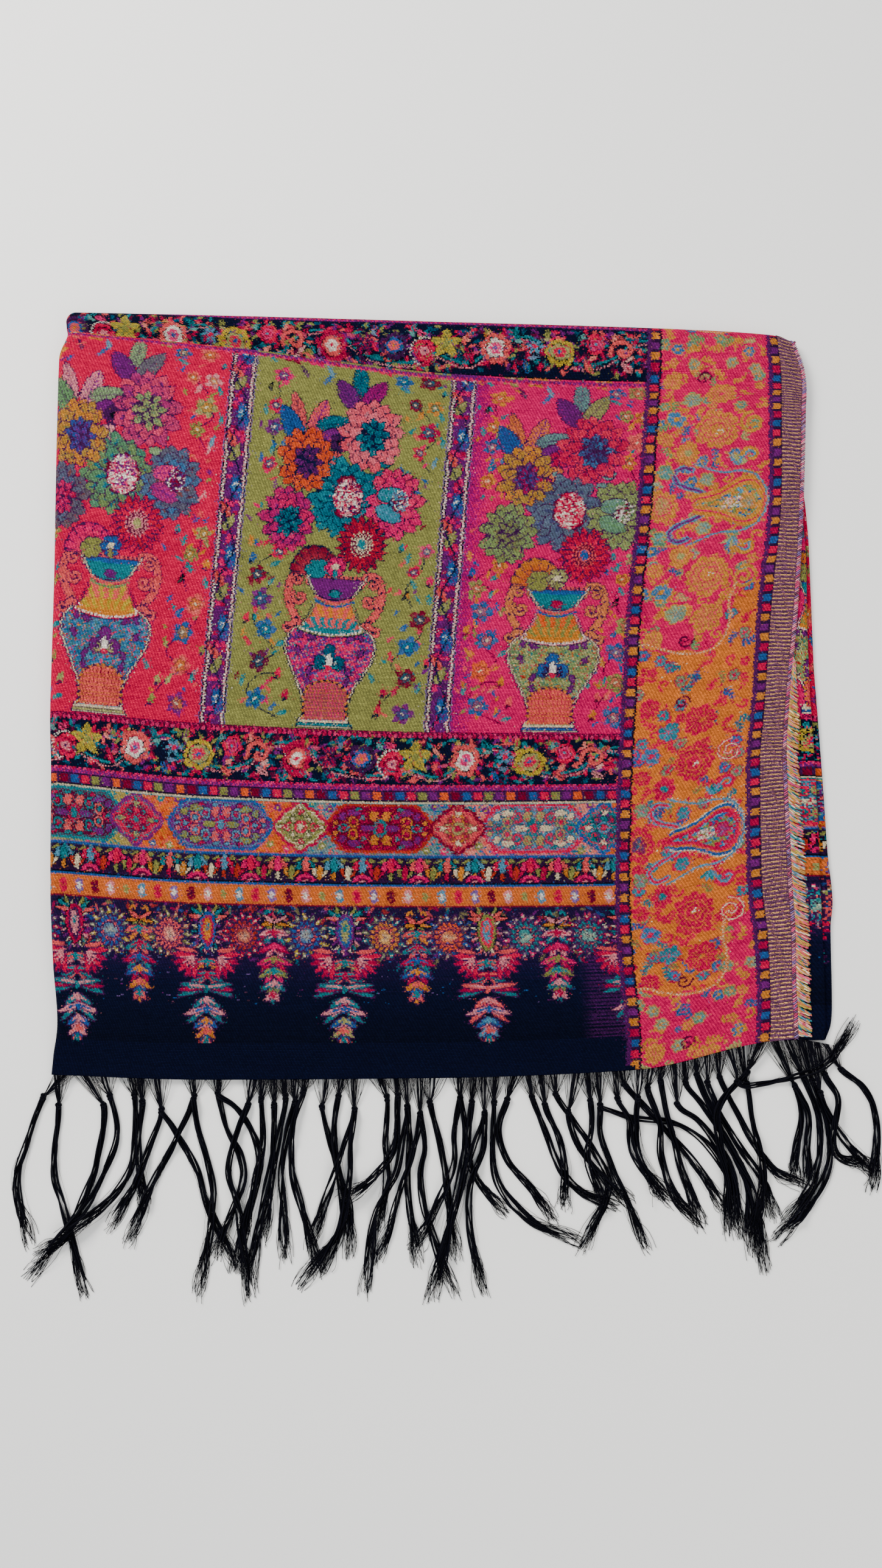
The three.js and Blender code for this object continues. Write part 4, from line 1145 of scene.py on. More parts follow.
SHORT_SPOTS = [
    (0, 0, 4, 4, 0), (0, 0, 1.8, 1.8, 1), (0, 10.2, 1.8, 2.6, 2), (0, 13, 1, 1.2, 1),
    (10.4, 0, 2.8, 1.6, 2), (13.4, 0, 1.2, 0.9, 1), (4.6, 5, 2, 2.2, 3), (5, 5.2, 0.9, 1, 1),
    (7.6, 2.2, 1.2, 1, 0), (2.6, 8, 1, 1.2, 3),
]


def cartouche(canvas, x, y, shape, spots, ground, line, tints):
    """A lobed medallion, the same in all four quarters."""
    wide = shape[-1][0] + 4
    part, u, v = canvas.window(x, y, wide, 18)
    u, v = np.abs(u), np.abs(v)
    widths, halves = zip(*shape)
    depth = np.interp(u, widths, halves, right=-9) - v
    grown = np.interp(u - 1.2, widths, halves, right=-9) - v
    put(part, (grown > -1.5), line)
    put(part, (depth > 0.4) & (u < shape[-1][0] - 1), ground)
    put(part, (np.abs(depth - 1.4) < 0.35) & (u < shape[-1][0] - 3), tints[1])
    for across, up, rx, ry, index in spots:
        for grow, tint in ((0.7, mix(ground, "ink", 0.45)), (0, tints[index])):
            spot = ((u - across) / (rx + grow)) ** 2 + ((v - up) / (ry + grow)) ** 2 < 1
            put(part, (depth > 1.2) & spot, tint)
    put(part, (depth > 0) & (canvas.rng.random(u.shape) < 0.1), tints[1])


LONGS = [  # distance across the cloth, ground, outline, colours of the spots
    (27.0, "wine", "teal", ("crimson", "teal", "purple", "salmon")),
    (125.0, "purple", "blue", ("crimson", "sky", "olive", "salmon")),
    (227.5, "maroon", "rust", ("teal", "crimson", "purple", "ochre")),
    (325.5, "sky", "red", ("teal", "red", "cream", "lime")),
]
SHORTS = [
    (69.5, "red", "purple", ("crimson", "teal", "lime", "plum")),
    (177.5, "olive", "crimson", ("red", "cream", "crimson", "lime")),
    (277.0, "salmon", "maroon", ("lime", "crimson", "cream", "ochre")),
    (370.0, "teal", "blue", ("sky", "red", "cream", "purple")),
]
SEGMENTS = [  # where a new ground colour starts, and its three colours of filling
    (-20, "lime", ["olive", "yellow", "teal"]),
    (69.5, "orange", ["rust", "ochre", "salmon"]),
    (177.5, "sky", ["blue", "salmon", "teal"]),
    (277, "rose", ["blue", "salmon", "teal"]),
    (370, "orange", ["rust", "ochre", "salmon"]),
    (400, "", []),
]


def cartouche_band(canvas, low=141.5, high=176.5):
    """Medallions on a ground that changes colour behind each short one."""
    middle = (low + high) / 2
    for (left, colour, filling), (right, *_) in zip(SEGMENTS, SEGMENTS[1:]):
        ground = mix(colour, "ochre", 0.25)
        canvas.band(low, high, ground, left, right)
        part, u, v = canvas.window((left + right) / 2, middle, (right - left) / 2, (high - low) / 2)
        scatter(canvas, part, np.ones(u.shape, bool), u, v, filling + [ground] * 3, 1.6, 0.75)
    for x in np.arange(FIELD_LEFT, FIELD_RIGHT, 11.0):
        lower, upper = ["blue", "magenta", "olive"][int(x) % 3], ["teal", "crimson", "purple"][int(x) % 3]
        blossom(canvas, x, low + 4 + 2 * math.sin(x), 2.6, lower, "cream", 6)
        blossom(canvas, x + 5, high - 4 - 2 * math.sin(x), 2.6, upper, "yellow", 6)
    for x, *inks in LONGS:
        cartouche(canvas, x, middle, LONG_SHAPE, LONG_SPOTS, *inks)
    for x, *inks in SHORTS:
        cartouche(canvas, x, middle, SHORT_SHAPE, SHORT_SPOTS, *inks)
    canvas.band(high - 1.6, high - 0.8, "teal")
    canvas.band(high - 0.8, high, "cream")


FLORAL_PERIOD = 213.0
FLORAL_HALF = 17
FLORAL_START = 36.0
FLORAL_STEM = [
    (-8, -4), (14, -11), (30, -2), (50, 9), (62, 3), (82, -8), (104, -6), (122, 8), (143, 6), (160, -6),
    (190, -10), (205, -2),
]
FLORAL_LEAVES = [  # across, up, length, degrees, colour
    (12, 5, 8, 60, "salmon"), (14, -6, 7, -60, "crimson"), (46, 8, 8, 120, "teal"),
    (50, -8, 9, -70, "blue"), (64, 9, 7, 80, "olive"), (88, -9, 9, -40, "salmon"),
    (104, 9, 10, 20, "salmon"), (112, -9, 9, -30, "rose"), (118, 4, 8, 60, "crimson"),
    (150, 8, 9, 100, "crimson"), (156, -7, 9, -60, "plum"), (164, 9, 7, 60, "blue"),
    (190, 9, 9, 70, "teal"), (196, -9, 9, -20, "blue"), (200, 8, 8, 150, "pink"),
    (206, -6, 7, -120, "olive"), (84, 10, 8, 20, "teal"), (126, -10, 8, 10, "purple"),
    (172, -11, 8, 20, "salmon"), (24, 10, 7, 10, "ochre"),
]
FLORAL_FILLING = ["crimson", "teal", "salmon", "olive", "purple", "wine", "deep", "red"]


def floral_band(canvas, low):
    """Scrolling flowers on a dark ground, twice FLORAL_HALF high."""
    canvas.band(low, low + 2 * FLORAL_HALF, mix("ink", "navy", 0.6))
    for turn in (-1, 0, 1):
        floral_repeat(canvas, FLORAL_START + turn * FLORAL_PERIOD, low + FLORAL_HALF)


def floral_repeat(canvas, x, y):
    """One repeat, from the yellow leaf cross."""
    stem = [(x + across, y + up) for across, up in FLORAL_STEM]
    stroke(canvas, stem, 1.5, "teal", "ink")
    dotted(canvas, [(a, b - 2.6) for a, b in stem], 2.2, 0.75, "rose")
    for across, up, length, turn, colour in FLORAL_LEAVES:
        pale = mix(colour, "cream", 0.35)
        leaf(canvas, x + across, y + up * 0.85, length, 4.4, turn, colour, "ink")
        leaf(canvas, x + across + 3, y + up * 0.7, length * 0.7, 3.4, turn + 70, pale, line="ink")
    for turn in range(0, 360, 72):
        leaf(canvas, x, y + 2, 10.5, 7.5, turn + 18, "yellow", "olive")
    disc(canvas, x, y + 2, 2.4, 2.4, "olive")
    rosette(canvas, x + 32, y, 9.8, "salmon", "white", "pink", "blue", count=11)
    for turn in range(0, 360, 60):
        leaf(canvas, x + 57, y + 2, 5.8, 3.2, turn, "sky", line="ink")
    disc(canvas, x + 57, y + 2, 1.5, 1.5, "red")
    rosette(canvas, x + 73, y - 1, 9.6, "yellow", "lime", "red", "blue")
    rosette(canvas, x + 95, y + 5, 6.4, "red", "pink", "crimson", "sky", count=6)
    curl(canvas, x + 113, y + 1, 8.5, 200, -1.1, 2.6, "salmon", "ink")
    rosette(canvas, x + 138, y - 1, 10.0, "crimson", "salmon", "white", "red", count=10)
    for turn in range(10, 370, 60):
        leaf(canvas, x + 159, y + 1, 8, 4.6, turn, "plum", "crimson")
    rosette(canvas, x + 179, y, 9.0, "plum", "blue", "salmon", "ochre", count=9)
    rosette(canvas, x + 199, y - 3, 7.4, "red", "crimson", "rose", "plum", count=6)
    for k in range(14):
        disc(canvas, *around(x + 199, y - 3, 9, 9, math.radians(60 + 14 * k)), 0.7, 0.7, "white")
    floral_filling(canvas, x, y)


def floral_filling(canvas, x, y):
    """Short dashes of yarn wherever the ground still shows."""
    rng = canvas.rng
    for _ in range(430):
        spot = (x + rng.uniform(-10, FLORAL_PERIOD - 10), y + rng.uniform(-14.5, 14.5))
        part, u, v = canvas.window(*spot, 3, 3)
        dark = part[..., :3].max(axis=2) < 0.2
        p, q = turned(u, v, rng.uniform(0, math.pi))
        tint = FLORAL_FILLING[rng.integers(len(FLORAL_FILLING))]
        put(part, dark & (p * p / 6.0 + q * q / 1.1 < 1), tint)


COLUMN_PITCH = 6.85
COLUMN_CYCLE = ["ochre", "red", "blue", "crimson", "ochre", "purple"]


def check_column(canvas, across):
    """A strip of squares along the cloth, with a dark line and a purple one beside it."""
    canvas.band(0, CLOTH_TOP, mix("purple", "plum", 0.75), across - 5.4, across - 2.6)
    canvas.band(0, CLOTH_TOP, mix("purple", "plum", 0.3), across - 4.5, across - 3.9)
    canvas.band(0, CLOTH_TOP, mix("plum", "ink", 0.3), across - 2.7, across + 2.8)
    canvas.band(0, CLOTH_TOP, "ink", across + 2.8, across + 4.0)
    for k in range(int(CLOTH_TOP / COLUMN_PITCH) + 1):
        middle = COLUMN_PITCH * k + 3
        canvas.band(middle - 2.4, middle + 2.4, COLUMN_CYCLE[k % 6], across - 2.3, across + 2.4)


MEANDER = 44.8  # between two blue buds of a separator
SEPARATOR_HIGH = 464.0
PEARLS = 6.35  # from the middle of a separator to its rows of white dots


def separator(canvas, x):
    """The purple strip with a winding stem between two panels."""
    low, high = PANEL_LOW, SEPARATOR_HIGH
    canvas.band(low, high, "lilac", x - 8.4, x + 8.4)
    canvas.band(low, high, "ink", x - 7.9, x + 7.9)
    canvas.band(low, high, mix("purple", "plum", 0.3), x - 5.0, x + 5.0)
    part, u, v = canvas.window(x, (low + high) / 2, 5, (high - low) / 2)
    scatter(canvas, part, np.abs(u) < 4.6, u, v, ["magenta", "crimson", "purple"], 3.2, 0.5)
    for row in (x - PEARLS, x + PEARLS):
        canvas.band(low, high, "rose", row - 0.6, row + 0.6)
        for y in np.arange(low, high, 1.9):
            disc(canvas, row, y, 0.8, 0.62, "white", metal=canvas.rng.random() < 0.5)
    for k in range(6):
        bud, twig = 237 + MEANDER * k, 261 + MEANDER * k
        leaf(canvas, x + 3.6, bud - 9, 17, 8.6, 100, "blue", "purple", "plum")
        disc(canvas, x + 1.4, bud + 1, 2.9, 4.4, "blue")
        speckle(canvas, x + 1.2, bud + 0.5, 1.9, 2.6, ["white", "sky", "blue"], 0.8, 0.9, ("white",))
        leaf(canvas, x - 3.2, twig - 8, 12, 7, 65, "olive", "lime", "plum")
        leaf(canvas, x - 1.0, twig + 1, 11, 6, 118, "salmon", "rust", "plum")
        leaf(canvas, x + 1.5, twig + 8, 8, 4, 150, "magenta", None, "plum")
    heights = np.arange(low + 1, high, 5.6)
    stem = [(x + 3.9 * math.sin(2 * math.pi * (y - 231) / MEANDER), y) for y in heights]
    stroke(canvas, stem, 1.3, "navy")
    canvas.band(high, high + 3, "purple", x - 8.4, x + 8.4)


SPRAYS = [  # beside the vase: offset from its axis, height in the panel, size, colour
    (-46, 17, 6, "blue"), (-33, 33, 3.4, "red"), (-46, 40, 6.2, "wine"), (-27, 20, 3.6, "crimson"),
    (-43, 60, 6.4, "blue"), (-57, 66, 3.4, "red"), (-48, 79, 6.8, "purple"), (-52, 94, 5.4, "maroon"),
    (-39, 110, 4.6, "red"), (-57, 104, 3.6, "blue"), (-51, 166, 4.8, "red"), (-50, 189, 5, "purple"),
    (-50, 203, 4.2, "red"), (-47, 225, 6.2, "magenta"), (-40, 244, 6.6, "maroon"),
    (-24, 243, 6, "magenta"), (-12, 246, 4, "salmon"), (50, 11, 6.6, "purple"), (33, 12, 3.4, "red"),
    (50, 34, 6, "maroon"), (36, 24, 3.2, "crimson"), (50, 54, 6.4, "blue"), (56, 72, 6.2, "maroon"),
    (62, 44, 3, "red"), (50, 103, 4, "red"), (60, 97, 3.6, "magenta"), (57, 117, 4.4, "pink"),
    (40, 118, 3, "teal"), (52, 196, 6.4, "crimson"), (47, 182, 4, "red"), (42, 215, 4.4, "maroon"),
    (55, 214, 5, "ochre"), (50, 235, 6.4, "maroon"), (33, 234, 5.4, "blue"), (22, 243, 5, "red"),
    (60, 226, 2.6, "teal"),
]
SPRAY_LEAVES = [  # offset, height, length, degrees, colour
    (-56, 24, 9, 80, "teal"), (-36, 10, 8, 50, "blue"), (-31, 8, 8, 20, "teal"),
    (-40, 26, 9, 40, "crimson"), (-52, 49, 9, 130, "red"), (-36, 50, 9, 30, "teal"),
    (-50, 68, 8, 110, "red"), (-36, 76, 8, 70, "olive"), (-55, 86, 8, 100, "maroon"),
    (-44, 88, 8, 60, "teal"), (-44, 100, 9, 30, "teal"), (-58, 112, 8, 100, "ochre"),
    (-50, 172, 9, 80, "teal"), (-44, 178, 9, 60, "blue"), (-56, 196, 8, 100, "teal"),
    (-55, 212, 8, 80, "ink"), (-30, 226, 14, 120, "plum"), (-20, 222, 15, 60, "blue"),
    (-14, 229, 13, 110, "sky"), (-52, 236, 8, 130, "teal"), (30, 30, 9, 120, "teal"),
    (42, 22, 9, 60, "crimson"), (58, 24, 9, 80, "teal"), (57, 62, 9, 100, "red"), (40, 44, 8, 100, "red"),
    (44, 64, 9, 40, "blue"), (62, 82, 8, 100, "teal"), (44, 84, 9, 60, "ink"), (52, 92, 8, 120, "teal"),
    (44, 108, 9, 70, "teal"), (60, 108, 9, 100, "olive"), (62, 186, 9, 100, "teal"),
    (57, 172, 9, 80, "sky"), (44, 204, 9, 60, "ochre"), (60, 204, 8, 100, "teal"),
    (38, 224, 10, 150, "teal"), (44, 242, 9, 20, "salmon"), (14, 246, 9, 160, "salmon"),
    (60, 243, 8, 100, "blue"), (46, 190, 7, 130, "salmon"),
]
SPRAY_STEMS = [
    [(-30, 6), (-44, 12), (-52, 22), (-44, 32), (-33, 33)],
    [(-46, 40), (-36, 46), (-44, 56), (-52, 66), (-48, 80)],
    [(-48, 80), (-42, 92), (-52, 100), (-40, 110)], [(30, 8), (38, 20), (46, 28), (56, 30), (62, 24)],
    [(50, 34), (40, 42), (48, 52), (58, 62), (56, 72)], [(50, 80), (46, 92), (54, 104), (57, 117)],
    [(54, 170), (48, 182), (56, 190), (52, 204), (42, 215)],
    [(-52, 160), (-48, 176), (-53, 190), (-48, 204), (-50, 222)],
]


SPRAY_NAMES = ["red", "maroon", "teal", "blue", "purple", "ochre", "salmon", "magenta"]


def sprays(canvas, x, low, cycle, squeeze):
    """The small scattered flowers on a panel's ground. `cycle` swaps their colours for its own."""

    def place(offset, height):
        return x + offset * (squeeze if offset > 0 else 1.0), low + height

    rng = canvas.rng
    for points in SPRAY_STEMS:
        stroke(canvas, [place(*point) for point in points], 0.8, cycle["stem"])
    for offset, height, length, turn, colour in SPRAY_LEAVES:
        tint = cycle.get(colour, colour)
        leaf(canvas, *place(offset, height), length * 0.9, 3.6, turn, tint, line=None)
        leaf(canvas, *place(offset, height), length * 0.5, 1.6, turn, mix(tint, "cream", 0.3), line=None)
    for _ in range(110):
        side = rng.choice([-1, 1])
        spot = place(side * rng.uniform(34, 60), rng.uniform(4, 244))
        name = SPRAY_NAMES[rng.integers(len(SPRAY_NAMES))]
        tint = cycle.get(name, name)
        leaf(canvas, *spot, rng.uniform(3.5, 7), 2.5, rng.uniform(20, 160), tint, line=None)
    for offset, height, size, colour in SPRAYS:
        tint = cycle.get(colour, colour)
        left, up = place(offset, height)
        if size > 3.9:
            pale, line = mix(tint, "cream", 0.3), mix(tint, "ink", 0.4)
            half = size * 0.55
            petals(canvas, left, up, size, size, 5, tint, pale, tint, sharp=0.9, notch=0.5)
            petals(canvas, left, up, half, half, 5, cycle["eye"], tint, line, notch=0.4, turn=0.6)
            disc(canvas, left, up, 0.9, 0.9, "cream")
        else:
            leaf(canvas, left, up - size, size * 2.2, size * 1.5, 80, tint, line=None)
            disc(canvas, left, up - size * 0.7, size * 0.4, size * 0.4, cycle["stem"])


# The vase: half widths at heights over the foot of the panel.
BODY = [
    (5, 15.4), (10, 13.8), (15, 13.8), (21, 15.6), (28, 18.8), (35, 22.8), (42, 26.6), (48, 28.8),
    (54, 29), (58, 27.6), (61.5, 24.6), (64.5, 20),
]
COLLAR = [(57, 23.6), (60, 22.4), (64, 19.8), (69, 16.8), (74, 14.2), (79, 12.6)]
BOWL = [(79.5, 5), (81, 9.6), (84, 12), (88, 14.6), (93, 17.6), (97.5, 20)]
HANDLE = [(17, 92), (20, 98), (27, 97), (30.5, 88), (29.5, 78), (24, 69), (20, 64)]
VASE_LEAVES = [  # across, up, degrees
    (19, 46, 60), (14, 34, 120), (20, 56, 100), (10, 56, 20), (12, 27, 80),
]


def filled_shape(canvas, x, low, table, line, edge, colour, floor=None, roof=None):
    """A symmetrical shape with a dark outline and a pale edge. Gives back its mask for more."""
    part, u, v = canvas.window(x, low + 55, 34, 56)
    height = v + 55
    inside = half_profile(height, table) - np.abs(u)
    if floor:
        inside = np.minimum(inside, height - floor[0] - floor[1] * (np.abs(u) / table[0][1]) ** 2)
    if roof:
        inside = np.minimum(inside, roof[0] + roof[1] * (np.abs(u) / table[-1][1]) ** 2 - height)
    for depth, tint in ((-1.2, line), (-0.3, edge), (0.6, line), (1.2, colour)):
        put(part, inside > depth, tint)
    return part, u, height, inside


def vase(canvas, x, low, inks):
    """The vase from its handles to its collar and bowl."""
    line = inks["line"]
    for side in (-1, 1):
        handle(canvas, x, low, side, inks["handle"], line)
    body = inks["body"]
    part, u, height, inside = filled_shape(canvas, x, low, BODY, line, "cream", body[0], roof=(58.5, 5.5))
    scatter(canvas, part, inside > 1.4, u, height, body, 1.5, 1.0)
    scatter(canvas, part, inside > 1.4, u, height, inks["body_dots"], 1.1, 0.16)
    for side in (-1, 1):
        for across, up, turn in VASE_LEAVES:
            degrees = 90 + side * (turn - 90)
            leaf(canvas, x + side * across, low + up, 6, 3.4, degrees, inks["leaves"][1], line=line)
    trefoil(canvas, x, low + 42, inks["trefoil"], line)
    basket(canvas, x, low, inks["basket"], line)
    for height, half, colour in ((1.2, 17.5, "cream"), (2.6, 17, inks["foot"]), (4.6, 16, "cream")):
        canvas.band(low + height - 0.9, low + height + 1.0, line, x - half - 0.8, x + half + 0.8)
        canvas.band(low + height - 0.4, low + height + 0.9, colour, x - half, x + half)
    collar(canvas, x, low, inks["collar"], line)
    bowl(canvas, x, low, inks["bowl"], line)


def collar(canvas, x, low, tints, line):
    """The shoulder of the vase, with rays and a row of metal dots."""
    part, u, height, inside = filled_shape(canvas, x, low, COLLAR, line, *tints[:2], floor=(58.5, 4.5))
    rays = np.sin(np.arctan2(u, height - 48) * 26) > 0.1
    put(part, (inside > 1.2) & rays & (height > 63.5), tints[2])
    put(part, (inside > 1.2) & ~rays & (height > 70), tints[3])
    edge = (inside > 0.2) & (inside < 1.5) & (height < 66)
    put(part, edge & (np.sin(u * 2.4) > -0.5), "white", True)


def bowl(canvas, x, low, tints, line):
    """The mouth of the vase and the rings under it."""
    part, u, height, inside = filled_shape(canvas, x, low, BOWL, line, "cream", tints[0])
    put(part, (inside > 0.8) & (height > 92 + np.abs(u) * 0.04), tints[2])
    put(part, (inside > 0.8) & (height > 94.8), line)
    put(part, (inside > 0.8) & (height > 95.4) & (np.sin(u * 2.2) > -0.3), tints[3])
    disc(canvas, x, low + 85.5, 3.4, 2.4, tints[1], line)
    rings = ((0.0, 1.5, tints[4]), (2.2, 0.8, line), (3.0, 1.5, tints[3]), (5.0, 0.8, line))
    for rise, width, colour in rings:
        arc = [(x + a, low + 77.4 + rise * 0.8 + 0.022 * a * a) for a in np.linspace(-12.5, 12.5, 9)]
        stroke(canvas, arc, width, colour)


def handle(canvas, x, low, side, colour, line):
    """One looped handle with its curls and its leaf."""
    stroke(canvas, [(x + side * a, low + b) for a, b in HANDLE], 4.4, colour, line)
    curl(canvas, x + side * 24.5, low + 93, 4.2, 90, -side * 1.1, 1.8, colour, line)
    curl(canvas, x + side * 22.5, low + 82, 5.0, 90 - side * 60, -side * 1.2, 2.0, colour, line)
    curl(canvas, x + side * 28.5, low + 63, 3.8, 90 + side * 90, side * 1.1, 1.7, colour, line)
    leaf(canvas, x + side * 22, low + 68, 8, 4, 90 - side * 130, colour, line=line)
    for a, b in HANDLE[1:-1]:
        disc(canvas, x + side * a, low + b, 0.8, 0.8, line)


def trefoil(canvas, x, y, colours, line):
    """The three-lobed flower on the belly of the vase."""
    for across, up in ((0, 6.5), (-6, -0.5), (6, -0.5)):
        disc(canvas, x + across, y + up, 3.6, 4.4, colours[0], line)
    disc(canvas, x, y, 5.5, 5, colours[0])
    for side in (-1, 1):
        curl(canvas, x + side * 5, y - 2, 3.2, 90, side * 0.8, 1.2, colours[1], line)
    leaf(canvas, x, y - 4, 9.5, 5.4, 90, "white", line=line)
    disc(canvas, x, y - 3.6, 2.0, 1.8, "red")


def basket(canvas, x, low, tints, line):
    """The ribbed dome at the foot of the vase, with its scalloped rim."""
    part, u, v = canvas.window(x, low + 17, 17, 14)
    height = v + 17
    straight = height > 6
    above = height > 19
    dome = np.where(above, (u / 13.8) ** 2 + ((height - 19) / 10.5) ** 2 < 1, (np.abs(u) < 13.2) & straight)
    rim = np.where(above, (u / 15.4) ** 2 + ((height - 19) / 12) ** 2 < 1, (np.abs(u) < 14.4) & straight)
    put(part, rim, tints[0])
    put(part, rim & ~dome & (np.sin(np.arctan2(height - 14, u) * 24) > 0), line)
    put(part, dome, tints[1])
    ribs = np.abs(np.sin(u * (1.5 - (height - 6) * 0.012))) < 0.32
    put(part, dome & ribs, tints[2])
    put(part, dome & (height % 2.2 < 0.8) & ~ribs, mix(tints[1], tints[0], 0.5))


def bouquet(canvas, x, low, inks):
    """The flowers in the vase: tall leaves first, then the big flowers from the middle outwards."""
    line = inks["line"]
    first, second, third, pale, bud = inks["leaves"]
    tall = inks["tall_leaf"]

    def at(across, up):
        return x + across, low + up

    tall_leaves = [  # across, up, length, width, degrees, colour, colour of the vein
        (5, 217, 27, 12, 92, first, line), (4, 206, 26, 15, 122, second, line),
        (8, 208, 27, 14, 60, third, line), (-31, 189, 26, 10, 108, pale, line),
        (-31, 180, 28, 15, 122, tall, line), (-25, 185, 27, 14, 72, pale, second),
        (-22, 193, 24, 13, 12, first, line),
    ]
    for across, up, length, width, turn, colour, vein in tall_leaves:
        tint = mix(colour, vein, 0.5) if vein == line else vein
        leaf(canvas, *at(across, up), length, width, turn, colour, line=line, vein=tint)
    leaf(canvas, *at(-20, 181), 17, 12, 40, second, line=line)
    blossom(canvas, *at(-6, 184), 6, bud, "ink", 5, line)
    blossom(canvas, *at(-8, 173), 5.4, pale, first, 5, line)
    for across, up, turn in ((22, 172, 20), (18, 166, 0), (-20, 158, 150), (20, 128, -20)):
        leaf(canvas, *at(across, up), 9, 6, turn, first, line=line)
    ruffles(canvas, *at(-0.7, 148), 21, 25, *inks["centre"], line, [(0.82, 13), (0.66, 11), (0.52, 10)])
    petals(canvas, *at(3, 149), 10.5, 13.5, 9, "maroon", "wine", line)
    speckle(canvas, *at(3, 149), 9.4, 12.4, inks["speckle"], 1.35, 0.95, ("white",))
    peony(canvas, *at(14.4, 191), 20, 23, *inks["top"], line)
    peony(canvas, *at(-27, 171), 16.5, 21, *inks["upper"], line)
    peony(canvas, *at(-35.5, 131.5), 16.5, 20.5, *inks["left"], line)
    petal, petal_deep, core, vein = inks["right"]
    ruffles(canvas, *at(34, 147), 16.5, 24.5, petal, petal_deep, line)
    leaf(canvas, *at(22, 152), 18, 12, 8, core, line=line, vein=vein)
    leaf(canvas, *at(22, 144), 18, 13, -25, mix(core, vein, 0.4), line=line, vein=vein)
    speckle(canvas, *at(37, 149), 6, 7.5, ["white", "plum", "maroon", vein], 1.2, 0.9, ("white",))
    zinnia(canvas, *at(14.6, 119), 16.5, 19, *inks["lower"], line)
    half_flower(canvas, *at(-14.5, 98), inks["half"], line)
    petals(canvas, *at(-13, 101), 7.5, 6.5, 6, inks["half"][2], inks["half"][2], line)
    blossom(canvas, *at(-1, 103), 6.4, inks["bud"], "cream", 6, line)
    disc(canvas, *at(-1, 98), 1.4, 3, inks["half"][2], line)


def half_flower(canvas, x, y, tints, line):
    """A flower that opens upwards out of the vase, its lower half hidden."""
    part, u, v = canvas.window(x, y, 17, 19)
    share = np.hypot(u / 16, v / 18)
    lobe = np.abs(np.cos(7.5 * np.arctan2(v, u)))
    dome = (share < 1 - 0.12 * (1 - lobe**0.6)) & (v > -1)
    put(part, (share < 1.04) & (v > -1.6), line)
    put(part, dome, mix(*tints[:2], np.clip(share, 0, 1)))
    put(part, dome & (lobe < 0.2) & (share > 0.3), line)


